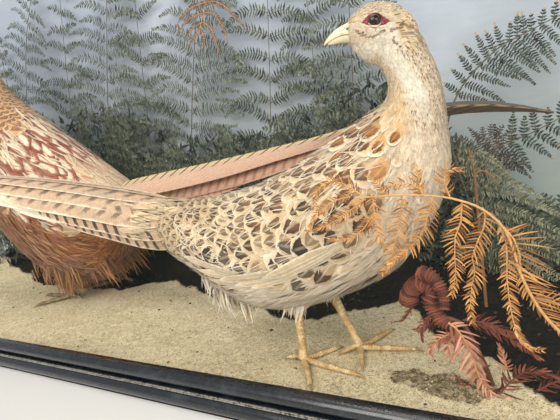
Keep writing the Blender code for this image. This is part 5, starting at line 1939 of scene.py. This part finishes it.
class Foliage:
    # gathers leaflets and stems, then makes them one mesh each
    def __init__(self, face=(0, -1, 0)):
        self.face = np.array(face, float)
        self.leaflets, self.stems = [], []

    def leaflet(self, place, aim, size, tone):
        self.leaflets.append((place, aim, size, tone))

    def stem(self, path, thick, thin, steps=14, sides=6):
        path = np.asarray(path, float)
        rows = np.linspace(0, len(path) - 1, steps)
        places = catmull(path, rows)
        rings = []
        for k, place in enumerate(places):
            ahead = Vector(places[min(k + 1, steps - 1)] - places[max(k - 1, 0)]).normalized()
            side = ahead.cross(Vector(self.face) + Vector((0.01, 0, 0.02))).normalized()
            up = side.cross(ahead)
            radius = (thick + (thin - thick) * k / (steps - 1)) * mm
            rings.append(ringAt(place, side * radius, up * radius, sides))
        self.stems.append((rings, None))

    def comb(self, path, long, gap, rng, wide=0.5, forward=22, curl=0.15, both=(1.0, 1.0), start=0.05,
             taper=1.6,
             stalk=0.45, least=0.3, dead=2.0):
        # leaflets on both sides of a path; past the share called dead they are pale
        places = catmull(np.asarray(path, float), np.linspace(0, len(path) - 1, 90))
        inside = [inCase(place) for place in places]
        if not all(inside):
            places = places[:inside.index(False)]
            if len(places) < 12:
                return
            places = catmull(places, np.linspace(0, len(places) - 1, 90))
        far = runLength(places)
        self.stem(places[::10], stalk, 0.16, max(4, min(16, int(far[-1] / 8))), 4)
        s = far[-1] * start
        while s < far[-1]:
            i = min(max(int(np.searchsorted(far, s)), 1), 88)
            u = s / far[-1]
            ahead = places[i + 1] - places[i - 1]
            ahead = unit(ahead)
            side = np.cross(self.face, ahead)
            side = unit(side)
            size = long * max(least, (1 - u**taper)) * min(1, 0.6 + 3 * u)
            for way, share in zip((1, -1), both):
                lean = radians(forward + 22 * u + rng.normal(0, 7))
                out = side * way * cos(lean) + ahead * sin(lean) + self.face * (curl * rng.uniform(-0.3, 1))
                reach = size * share * rng.uniform(0.85, 1.1) * mm
                if inCase(places[i] + out * reach):
                    broad = gap * wide * mm * 2
                    scale = reach, broad * rng.uniform(0.85, 1.15), broad
                    tone = 1.2 if u > dead else rng.random() * 0.8 + 0.2 * u
                    self.leaflet(places[i], aimAlong(out, self.face * way), scale, tone)
            s += gap * (0.62 + 0.38 * size / long)

    def frond(self, path, reach, pairs, rng, long, gap, start=0.2, droop=0.22, lean=8, stalk=1.1, wide=0.26,
              blunt=0.45, rise=0.10, sides=(1, 1), dead=2.0):
        path = np.asarray(path, float)
        self.stem(path, stalk, 0.35, 26, 6)
        for pair in range(pairs):
            share = (pair + 0.5) / pairs
            row = (start + (1 - start) * share) * (len(path) - 1)
            ahead = catmull(path, min(row + 0.1, len(path) - 1)) - catmull(path, row - 0.1)
            ahead = unit(ahead)
            across = np.cross(self.face, ahead)
            across = unit(across)
            span = reach * max(0.08, (1 - share) ** blunt) * min(1, 0.62 + 2 * share)
            for side, part in zip((1, -1), sides):
                tilt = radians(lean + 16 * share + rng.normal(0, 5))
                out = across * side * cos(tilt) + ahead * sin(tilt)
                out = out + self.face * rng.uniform(-0.05, 0.10)
                length = span * part * rng.uniform(0.85, 1.12)
                origin = catmull(path, row + side * 0.03)
                lift = vec(0, 0, rise * rng.uniform(0.4, 1.4))
                down = vec(0, 0, -droop * rng.uniform(0.6, 1.8)) + self.face * 0.08
                points = [origin + length * mm * (u * (out + lift) + u * u * down)
                          for u in np.linspace(0, 1, 6)]
                self.comb(points, long * (0.7 + 0.3 * length / reach), gap, rng, wide, 12, taper=3.0,
                          dead=dead if side > 0 else 2.0)

    def make(self, name, shape, leafFinish, stemFinish, slotName, nodes=(), uneven=(0.12, 0.12), seed=1):
        # the leaves and the stems, as two pieces
        places, aims, sizes, tones = zip(*self.leaflets)
        mesh = placeCopies(name, places, aims, sizes, tones, shape, leafFinish, uneven, seed)
        keep(addObject(name, mesh), slotName, *nodes)
        keep(joinLofts(name + "Stems", self.stems, stemFinish), slotName)
        print(" ", name, len(places), "leaflets")


def leafFinishes():
    made = {}
    # dim and night are the bracken green made darker: painted shade for the dark fronds at the back and at
    # the right
    for name, low, high, tip, rough in (
        ("green", "2a312d", "7a8478", "9c977a", 0.7),
        ("fan", "3d4334", "97997c", "b9ae86", 0.7),
        ("dim", "232b26", "69735f", "8b8464", 0.8),
        ("night", "10181a", "4d5c55", "b9a27c", 0.6),
        ("gold", "6a3a16", "cf9754", "f0ca92", 0.5),
        ("red", "32150e", "93523c", "bd7c60", 0.55),
        ("pink", "8a4d37", "dca283", "f2cdb0", 0.55),
        ("brown", "46331f", "8f6c45", "c09c6e", 0.65),
        ("withered", "2f2620", "75655a", "a08c78", 0.8),
    ):
        g = Graph(name + "Leaf", rough, Sheen_Weight=0.05, Specular_IOR_Level=0.3)
        tone = g.number("tone")
        place = g.place()
        blotch = g.noise(place, 90, 3)
        fine = g.noise(place, 1400, 2)
        colour = g.mix(g.step(tone * 0.75 + blotch * 0.5, 0.15, 1.0), low, high)
        colour = g.mix(g.step(tone + (fine - 0.5) * 0.3, 0.86, 1.02), colour, tip)
        g.relief(fine, 0.0003, 0.7)
        made[name] = g.paint(colour)
    for name, low, high in (("darkStem", "39362a", "77735a"), ("goldStem", "a3703a", "e0b478"),
                            ("redStem", "34190f", "8a5239"), ("twig", "6b4a2c", "a87f50")):
        made[name] = grainy(name, 0.6, 500, low, high, relief=0.0003)
    return made


backFronds = {
    # node it stands for: (path of x, y, z in millimetres, reach, pairs of pinnae, leaflet, droop)
    "fern_far_left": ([(-440, 130, 46), (-425, 131, 140), (-405, 132, 230), (-375, 134, 320),
                       (-335, 134, 400),
                       (-290, 134, 462)], 112, 17, 11.0, 0.44),
    "fern_left": ([(-250, 136, 18), (-225, 136, 110), (-202, 137, 200), (-178, 138, 284), (-156, 139, 348),
                   (-132, 139, 412), (-112, 139, 470)], 122, 18, 11.2, 0.40),
    "fern_middle": ([(-75, 141, 18), (-52, 141, 110), (-32, 142, 195), (-12, 143, 262), (8, 143, 320),
                     (32, 144, 385), (62, 144, 450)], 118, 17, 11.0, 0.40),
    "fern_behind_hen": ([(196, 130, 20), (216, 130, 120), (226, 131, 208), (231, 131, 260), (238, 132, 330),
                         (252, 132, 420)], 88, 15, 9.4, 0.38),
}

fillFronds = [
    # foot, bend, tip, reach, pairs of pinnae
    ((66, 144, 18), (108, 146, 200), (146, 147, 455), 112, 15),
    ((-330, 142, 30), (-300, 146, 240), (-235, 147, 465), 104, 14),
    ((-470, 143, 40), (-462, 146, 230), (-430, 147, 440), 80, 12),
    ((-150, 146, 20), (-120, 149, 210), (-70, 149, 500), 96, 14),
    ((150, 149, 20), (176, 150, 170), (182, 150, 420), 80, 13),
]

lowFronds = {
    "count": 62, "left": -455, "right": 462, "near": 84, "far": 146, "reach": 46,
    # how tall the dark growth is along the back
    "x": (-450, -272, -120, -64, 75, 190, 240, 300, 335, 365, 400, 460),
    "tall": (215, 268, 250, 196, 180, 200, 226, 176, 128, 84, 52, 46),
    "shade": 2600,
    # left, right, near, far, height at left and right, count
    "more rows": ((296, 468, 84, 112, 116, 30, 16), (-472, -392, 30, 110, 130, 150, 9)),
}

fanFrond = {
    "stem": [(336, 74, 150), (343, 70, 116), (351, 70, 81), (357, 70, 45), (359, 74, 12)],
    "reach": 92, "pairs": 17, "leaflet": 6.0, "gap": 2.3,
}

dryFrond = {
    "plane": 116,
    "pinnae": [
        [(57, 357), (76, 353), (94, 339), (107, 322), (119, 306)],
        [(57, 357), (39, 356), (24, 349), (11, 338)],
        [(53, 346), (69, 341), (79, 326), (85, 313), (88, 300)], [(53, 346), (36, 345), (21, 338), (11, 328)],
        [(48, 336), (59, 328), (66, 312), (70, 292)], [(48, 336), (32, 332), (18, 321)],
        [(44, 327), (47, 316), (46, 302)], [(44, 327), (33, 322), (23, 310)],
    ],
    "stem": [(67, 124, 386), (60, 120, 366), (51, 117, 346), (42, 113, 325)],
}

witheredFronds = (
    ([(330, 88, 100), (339, 86, 121), (349, 85, 142), (361, 84, 153), (376, 84, 155), (390, 84, 146)], 26,
     11),
    ([(332, 92, 96), (346, 90, 116), (362, 88, 128), (380, 87, 130), (396, 87, 122)], 22, 9),
)

twig = [[(363, 0, 20), (363, 0, 90), (363, 0, 125), (363, 0, 136), (361, 0, 147), (360, 0, 156)],
        [(363, 0, 134), (370, 0, 136), (380, 0, 126)]]

rightFronds = {
    # path, reach, pairs, leaflet, gap, lean, shares of the two sides, where the dead tips start
    "fern_right_high": ([(300, 118, 22), (312, 118, 110), (330, 112, 172), (343, 110, 198), (358, 109, 214),
                         (372, 109, 225), (385, 109, 233), (398, 110, 237), (410, 111, 241), (429, 112, 247),
                         (447, 113, 249)], 58, 15, 5.4, 2.7, 12, (0.48, 0.85), 0.84),
    "fern_right_low": ([(330, 110, 16), (342, 110, 80), (356, 110, 122), (375, 110, 139), (401, 111, 147),
                        (426, 112, 158), (452, 113, 166)], 44, 11, 6.2, 3.1, 16, (0.7, 0.9), 2.0),
}


def millimetres(points):
    return np.array(points, float) * mm


def pieceName(node):
    first, *rest = node.split("_")
    return first + "".join(word.capitalize() for word in rest)


def arch(foot, bend, tip, steps=7):
    return [foot * (1 - t) ** 2 + bend * 2 * t * (1 - t) + tip * t * t for t in np.linspace(0, 1, steps)]


def growLow(spray, rng, count, left, right, near, far, tall, reach):
    # short fronds side by side; tall gives their height at x
    for k in range(count):
        x = left + (right - left) * (k + rng.random()) / count
        y = rng.uniform(near, far)
        high = tall(x) * rng.uniform(0.45, 1.0)
        foot = vec(x, y, float(groundHeight(x, y)) + 1)
        tip = foot + vec(rng.uniform(-60, 60), rng.uniform(-14, 4), high)
        tip[0], tip[1] = np.clip(tip[0], -462, 462), min(tip[1], 148)
        bend = (foot + tip) / 2 + vec(rng.uniform(-12, 12), rng.uniform(-4, 4), high * 0.15)
        spray.frond(np.array(arch(foot, bend, tip)) * mm, reach * rng.uniform(0.8, 1.25), 5 + int(high / 26),
                    rng,
                    9.6, 4.8, 0.08, 0.34, stalk=0.9, wide=0.32, lean=14, rise=0.2)


def twigParts():
    spray = Foliage()
    for line, thick in zip(twig, (1.3, 0.8)):
        spray.stem(millimetres(line), thick, thick * 0.5, 12)
    return spray.stems


def makeBackFerns(finishes):
    leaf = leafletShape("backLeaflet", ((0, 0.30), (0.45, 0.5), (1.0, 0.08)), 0.10, 0.12)
    rng = np.random.default_rng(51)

    def done(spray, name, look="dim", nodes=(), slot="dark_bracken", stem="darkStem"):
        spray.make(name, leaf, finishes[look], finishes[stem], slot, nodes)

    for node, (path, reach, pairs, long, droop) in backFronds.items():
        spray = Foliage()
        spray.frond(millimetres(path), reach, pairs, rng, long, 3.6, 0.14, droop, wide=0.32, rise=0.26,
                    stalk=0.9)
        done(spray, pieceName(node), "green", (node,))
    for node, (path, reach, pairs, long, gap, lean, sides, dead) in rightFronds.items():
        spray = Foliage()
        spray.frond(millimetres(path), reach, pairs, rng, long, gap, 0.26, 0.14, lean, wide=0.34, sides=sides,
                    dead=dead, blunt=0.3)
        done(spray, pieceName(node), "night", (node,))
    spray = Foliage()
    for foot, bend, tip, reach, pairs in fillFronds:
        path = arch(millimetres(foot), millimetres(bend), millimetres(tip), 9)
        spray.frond(path, reach, pairs, rng, 10.5, 4.0, 0.14, 0.42, wide=0.30, rise=0.28, stalk=0.8)
    done(spray, "fernFill")
    # low dark growth along the back, a second row at the right, and dark leaves behind both
    low = lowFronds

    def tall(x):
        return float(np.interp(x, low["x"], low["tall"]))

    for name, left, right, near in (("fernLowLeft", low["left"], 0, 112),
                                    ("fernLowRight", 0, low["right"], low["near"])):
        spray = Foliage()
        growLow(spray, rng, low["count"] // 2, left, right, near, low["far"], tall, low["reach"])
        done(spray, name)
    spray = Foliage()
    for left, right, near, far, atLeft, atRight, count in low["more rows"]:
        growLow(spray, rng, count, left, right, near, far,
                lambda x: float(np.interp(x, (left, right), (atLeft, atRight))), 36)
    for k in range(low["shade"]):
        x = rng.uniform(-474, 470)
        z = 6 + (tall(x) - 6) * rng.random() ** 0.8
        y = rng.uniform(132, 148)
        if k % 4 == 0:
            x, y = rng.uniform(310, 466), rng.uniform(80, 112)
            z = rng.uniform(12, float(np.interp(x, (310, 400, 466), (112, 40, 26))))
        elif k % 9 == 1:
            x, y, z = rng.uniform(-474, -395), rng.uniform(40, 112), rng.uniform(20, 120)
        way = unit(vec(rng.normal(0, 0.8), rng.normal(0, 0.15), rng.normal(0.3, 0.8))) * 18 * mm
        place = vec(x, y, z) * mm
        if inCase(place + way):
            aim = aimAlong(way, (rng.normal(0, 0.3), -1, 0))
            size = rng.uniform(13, 21) * mm, rng.uniform(3.5, 6.5) * mm, 3 * mm
            spray.leaflet(place, aim, size, rng.uniform(0, 0.35))
    done(spray, "fernShade")
    # a fan of fine pinnae that all lean to the right, and a bare twig before it
    spray = Foliage()
    stem = millimetres(fanFrond["stem"])
    for k in range(fanFrond["pairs"]):
        share = (k + 0.5) / fanFrond["pairs"]
        origin = catmull(stem, share * (len(stem) - 1))
        way = vec(1, 0, 0.16 - 0.55 * share) + rng.normal(0, 0.04, 3)
        reach = fanFrond["reach"] * float(0.5 + 0.5 * ramp01(share, 0.0, 0.45))
        points = [origin + way * reach * mm * u - vec(0, 0.012 * u, 0.034 * u * u)
                  for u in np.linspace(0, 1, 6)]
        spray.comb(points, fanFrond["leaflet"], fanFrond["gap"], rng, 0.32, 16, taper=3.0)
    spray.stem(stem, 0.9, 0.5)
    done(spray, "fernFan", "fan")
    keep(joinLofts("twig", twigParts(), finishes["twig"]), "dark_bracken")
    # a dry brown frond that hangs high at the back, and a withered one beside the neck
    spray = Foliage()
    for line in dryFrond["pinnae"]:
        spray.comb(millimetres([(x, dryFrond["plane"] - 3 * k, z) for k, (x, z) in enumerate(line)]), 5.6,
                   2.2, rng,
                   0.28, start=0.0)
    spray.stem(millimetres(dryFrond["stem"]), 0.7, 0.5)
    done(spray, "fernBrown", "brown", (), "dry_bracken", "goldStem")
    spray = Foliage()
    for path, reach, pairs in witheredFronds:
        spray.frond(millimetres(path), reach, pairs, rng, 4.4, 2.4, 0.1, 0.5, 6, wide=0.26, stalk=0.6)
    done(spray, "fernWithered", "withered", (), "dry_bracken")
    bpy.data.objects.remove(leaf)


frontBracken = {
    "plane": -142.5,
    "stem": [(446, 10), (440, 30), (430, 52), (418, 72), (408, 85), (402, 96), (397, 110), (395, 121),
             (391, 134),
             (382, 144), (372, 149), (361, 152), (342, 154), (331, 154), (321, 154)],
    # path of x, z in millimetres, leaflet length, gap, shares of the two sides, how far behind the plane
    "pinnae": [
        ([(373, 149), (371, 136), (367, 127), (367, 117), (366, 105), (363, 96)], 7.4, 2.5, (1, 1), 0),
        ([(382, 144), (383, 138), (380, 129), (375, 119), (376, 108), (372, 95), (372, 79)], 7.8, 2.5,
         (1, 0.9), 1),
        ([(389, 137), (392, 124), (391, 113), (391, 98), (392, 83), (394, 74), (399, 68), (405, 68)], 7.6,
         2.5,
         (0.9, 0.6), 0),
        ([(391, 134), (397, 124), (397, 110), (402, 96), (408, 85), (418, 72)], 14.0, 2.7, (1.0, 0.42), 0),
        ([(359, 152), (356, 143), (353, 135), (347, 126), (337, 118), (330, 112)], 7.2, 2.5, (1, 1), 0),
        ([(343, 153), (341, 143), (338, 135), (335, 125), (331, 114), (326, 108)], 7.4, 2.4, (1, 1), 1),
        ([(354, 152), (352, 161), (353, 168)], 5.2, 2.3, (1, 1), 0),
        ([(367, 151), (365, 159), (367, 165), (374, 165)], 6.0, 2.2, (1, 0.8), 0),
        ([(354, 153), (348, 160), (338, 160), (333, 157)], 4.6, 2.2, (1, 1), 0),
        ([(326, 154), (326, 140), (327, 130), (329, 122)], 6.2, 2.3, (1, 1), 1),
        ([(321, 155), (311, 163), (303, 165), (294, 160)], 5.4, 2.2, (1, 1), 0),
        ([(322, 153), (308, 144), (294, 137), (280, 134)], 4.8, 2.1, (1, 1), 1),
        ([(314, 155), (304, 153), (292, 147), (284, 137)], 4.4, 2.1, (1, 1), 0),
        ([(325, 143), (316, 133), (306, 128), (295, 129)], 4.8, 2.1, (1, 1), 2),
        ([(335, 153), (331, 160), (325, 166)], 3.8, 2.1, (1, 1), 0),
        ([(300, 165), (292, 158), (291, 148), (298, 143)], 3.6, 2.0, (1, 1), 1),
        ([(418, 72), (424, 62), (433, 50), (440, 36)], 11.0, 2.9, (1.0, 0.6), 1),
        ([(402, 96), (410, 94), (420, 88), (430, 78)], 8.5, 2.7, (1.0, 0.7), 3),
    ],
}

curledBracken = {
    "plane": -95.0,
    "rolls": [
        # path of x, z, radius from and to
        ([(335, 91), (344, 89), (350, 77), (350, 67)], 5.0, 3.0, 5),
        ([(326, 66), (327, 74), (334, 81), (342, 78), (340, 69), (342, 62), (346, 55), (354, 51)], 6.2, 4.4,
         0),
    ],
    # path of x, z, leaflet length, gap, shares of the two sides, how far behind the plane, pinkish or not
    "pinnae": [
        ([(328, 65), (320, 54), (312, 51)], 2.6, 2.2, (1, 1), 2, False),
        ([(352, 58), (358, 54), (363, 44), (367, 31), (371, 16)], 15.5, 2.8, (0.7, 1.0), 10, True),
        ([(366, 34), (369, 22), (376, 12), (384, 9)], 8.0, 2.2, (0.7, 0.9), 12, True),
        ([(372, 12), (380, 13), (387, 24), (395, 31), (405, 33), (414, 30)], 10.5, 2.4, (0.8, 1.0), 12,
         False),
        ([(384, 28), (383, 38), (381, 48)], 5.5, 1.9, (1, 1), 10, True),
        ([(354, 50), (344, 44), (338, 36), (337, 29)], 8.0, 2.5, (1.0, 0.8), 4, True),
        ([(358, 52), (350, 42), (349, 32)], 9.0, 2.5, (0.9, 0.9), 7, True),
        ([(358, 52), (372, 52), (384, 48), (396, 42)], 8.0, 2.5, (1.0, 0.9), -6, False),
        ([(362, 48), (376, 44), (390, 36), (402, 24)], 8.0, 2.5, (1.0, 0.9), -14, False),
        ([(400, 14), (412, 22), (424, 24), (438, 20)], 8.0, 2.6, (1.0, 0.9), 3, False),
        ([(344, 54), (334, 48), (326, 47)], 6.0, 2.2, (1.0, 0.7), 0, False),
        ([(340, 60), (334, 52), (333, 42)], 5.0, 2.2, (1.0, 0.9), 4, False),
        ([(372, 10), (366, 9), (358, 12), (352, 18)], 6.0, 2.4, (1.0, 0.7), 6, False),
    ],
    "stem": [(374, 9), (371, 22), (366, 38), (360, 52), (352, 57), (345, 58)],
}


def makeFrontFerns(finishes):
    leaf = leafletShape("frontLeaflet", ((0, 0.30), (0.2, 0.5), (0.5, 0.44), (0.8, 0.30), (1.0, 0.08)), 0.18,
                        1.1)
    rng = np.random.default_rng(61)
    f = frontBracken
    spray = Foliage()
    spray.stem([(x * mm, f["plane"] * mm, z * mm) for x, z in f["stem"]], 0.9, 0.5, 40, 8)
    for k, (path, long, gap, both, back) in enumerate(f["pinnae"]):
        points = []
        for i, (x, z) in enumerate(path):
            points.append((x, f["plane"] + 0.8 + back + 1.4 * sin(1.3 * i + k), z))
        spray.comb(millimetres(points), long * 1.1, gap * 0.74, rng, 0.23, 24, 0.14, both, 0.03, 3.4, 0.5,
                   least=0.45)
    spray.make("fernFront", leaf, finishes["gold"], finishes["goldStem"], "dry_bracken", ("fern_front",),
               (0.1, 0.16), 3)
    c = curledBracken
    for name, finish, stem, wanted in (("fernCurled", "red", "redStem", False),
                                       ("fernPink", "pink", "goldStem", True)):
        spray = Foliage()
        if not wanted:
            spray.stem([(x * mm, c["plane"] * mm, z * mm) for x, z in c["stem"]], 2.0, 1.2, 24, 8)
        for k, (path, long, gap, both, back, pink) in enumerate(c["pinnae"]):
            points = [(x, c["plane"] - back + 2.0 * sin(1.1 * i + 2 * k), z) for i, (x, z) in enumerate(path)]
            if pink == wanted:
                spray.comb(millimetres(points), long * 1.15, gap * 1.1, rng, 0.27, 34, 0.35, both, 0.03, 2.6,
                           0.8,
                           least=0.4)
        spray.make(name, leaf, finishes[finish], finishes[stem], "dry_bracken",
                   () if wanted else ("fern_curled",), (0.1, 0.2), 5)
    # the two rolled fronds
    rib = ribShape("rolledLeaflet")
    spray = Foliage()
    for path, thick, thin, back in c["rolls"]:
        points = millimetres([(x, c["plane"] - back, z) for x, z in path])
        spray.stem(points, thick * 0.80, thin * 0.80, 30, 12)
        rows = catmull(points, np.linspace(0, len(points) - 1, 120))
        far = runLength(rows)
        for s in np.arange(0, far[-1], 2.0):
            i = min(max(int(np.searchsorted(far, s)), 1), 118)
            radius = thick + (thin - thick) * s / far[-1]
            spray.leaflet(rows[i], aimAlong(rows[i + 1] - rows[i - 1], (0, -1, 0.2)),
                          (2.9 * mm, radius * mm, radius * mm), rng.uniform(0.2, 0.9))
    spray.make("fernRolls", rib, finishes["red"], finishes["redStem"], "dry_bracken", (), (0.06, 0.06), 6)
    bpy.data.objects.remove(leaf)
    bpy.data.objects.remove(rib)


# ---- the case: mouldings, boards and glass ----

case = {
    "width": 1003.0,
    "depth": 330.5,
    "glassLine": 151.25,
    "rail": 14.0,
    "railHeight": 27.0,
    "ease": 0.15,
    "ebony": "07090c",
    "worn": "8f8b80",
}


def mouldingOutline():
    # (in front of the glass, height): a rounded foot, a twin fillet and a half-round bead
    rail, tall = case["rail"], case["railHeight"]
    outline = [(0, 0), (rail - 2.5, 0)]
    for a in np.linspace(-90, 62, 12):
        outline.append((rail - 6.4 + 6.4 * cos(radians(a)), 6.3 + 6.3 * sin(radians(a))))
    outline += [(rail - 4.2, 12.2), (rail - 4.2, 12.7), (rail - 3.3, 12.9), (rail - 3.3, 13.7),
                (rail - 4.1, 13.9),
                (rail - 4.1, 14.3), (rail - 3.5, 14.5), (rail - 3.5, 15.2), (rail - 4.6, 15.5)]
    bead = (tall - 15.6) / 2
    for a in np.linspace(-80, 104, 16):
        outline.append((3.4 + 6.6 * cos(radians(a)), 15.6 + bead + bead * sin(radians(a))))
    outline += [(1.4, tall - 0.3), (0, tall - 0.3)]
    return outline


def ebonyFinish():
    g = Graph("ebonisedWood", 0.22, Coat_Weight=0.5, Coat_Roughness=0.12, Specular_IOR_Level=0.5)
    place = g.place()
    grain = g.noise(g.stretched(place, (14, 300, 300)), 1.0, 4)
    dust = g.noise(place, 60, 5, 0.7)
    nick = g.noise(place, 420, 4, 0.75)
    colour = g.mix(grain, case["ebony"], "1a2028")
    colour = g.mix(g.step(dust, 0.52, 0.75) * 0.25, colour, "4c5560")
    # the twin fillet has lost its black where it is touched
    height = g.split(place)[2]
    fillet = g.step(height, 0.0123, 0.0129) * (1 - g.step(height, 0.0150, 0.0155))
    worn = fillet * g.step(nick + dust * 0.3, 0.50, 0.72)
    colour = g.mix(worn, colour, case["worn"])
    g.feed(g.shader.inputs["Roughness"], 0.2 + g.step(dust, 0.35, 0.8) * 0.25 + worn * 0.3)
    g.relief(nick + grain * 0.4, 0.0002, 0.5)
    return g.paint(colour)


def sweptRail(name, start, end, away, finish):
    # the moulding drawn out from start to end, mitred where two rails meet
    start, end, out = Vector(start), Vector(end), Vector(away)
    along = (end - start).normalized()
    squareEnd = abs(along.y) > 0.5
    rings = []
    for place, lean in ((start, -1), (end, 0 if squareEnd else 1)):
        rings.append([np.array((place + out * d + along * lean * d + Vector((0, 0, h))) * mm)
                      for d, h in mouldingOutline()])
    first, last = np.array(rings)
    rings = [first * (1 - t) + last * t for t in np.linspace(0, 1, 40)]
    return addObject(name, loftMesh(name, rings, 35), finish)


def makeCase():
    ebony = ebonyFinish()
    side = case["width"] / 2 - case["rail"]
    line, back, ease = -case["glassLine"], case["depth"] / 2, case["ease"]
    front = sweptRail("railFront", (-side + ease, line, 0), (side - ease, line, 0), (0, -1, 0), ebony)
    keep(front, "ebonised_wood", "case_bottom_rail_front")
    for word, sign in (("left", -1), ("right", 1)):
        rail = sweptRail("rail" + word.capitalize(), (sign * side, line + ease, 0), (sign * side, back, 0),
                         (sign, 0, 0), ebony)
        keep(rail, "ebonised_wood", "case_bottom_rail_" + word)

    pine = Graph("pine", 0.65)
    place = pine.place()
    wood = pine.noise(pine.stretched(place, (6, 160, 160)), 1.0, 5, 0.6, 0.8)
    rings = pine.maths("SINE", wood * 40)
    pine.relief(wood, 0.0003)
    pineFinish = pine.paint(pine.mix(rings * 0.5 + 0.5, "9c7448", "c79f6c"))

    board = Graph("paintedSky", 0.75, Specular_IOR_Level=0.3)
    place = board.place()
    x, _, z = board.split(place)
    cloud = board.noise(board.stretched(place, (1, 1, 1.6)), 7, 4, 0.55)
    brush = board.noise(board.stretched(place, (40, 40, 300)), 1.0, 4)
    sky = board.mix(board.step(z, 0.02, 0.40), "9fa89f", "aeb8c6")
    sky = board.mix(board.step(cloud, 0.38, 0.72) * 0.55, sky, "c9d0da")
    sky = board.mix(board.step(x, 0.30, 0.5) * (1 - board.step(z, 0.05, 0.28)) * 0.6, sky, "a7b2a4")
    board.relief(brush, 0.0002, 0.4)
    skyFinish = board.paint(board.shade(sky, 0.93 + brush * 0.12))

    glassFinish = grainy("caseGlass", 0.02, 4, "4f5c58", "66736f", Alpha=0.02, Specular_IOR_Level=0.5,
                         IOR=1.5)

    slots = {"case_top_rail": (ebony, "ebonised_wood"), "case_post": (ebony, "ebonised_wood"),
             "case_base": (pineFinish, "pine"), "case_backboard": (skyFinish, "painted_board"),
             "case_glass": (glassFinish, "case_glass")}
    for name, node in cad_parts.items():
        for start, (finish, _) in slots.items():
            if name.startswith(start):
                for k in range(len(node.material_slots)):
                    node.material_slots[k].material = finish


# ---- making it all ----

print("camera and studio")
addCamera()
addStudio()
print("the case")
makeCase()
print("the hen's skin and plumage")
henSkin = makeHenSkin()
henSurface = Surface(henSkin.data)
makeHenCoat(henSurface)
makeHenFlight(henSurface)
makeHenTufts()
makeHenTailCoverts()
makeHenHeadCoat(henSurface)
makeHenEyes(henSurface)
makeHenBill()
makeHenTail()
makeLegs()
print("the cock")
cockSkin = makeCockSkin()
makeCockCoat(Surface(cockSkin.data))
makeCockTail()
makeCockHead()
print("the ground")
makeGround()
makePebbles()
print("the bracken")
leaves = leafFinishes()
makeBackFerns(leaves)
makeFrontFerns(leaves)
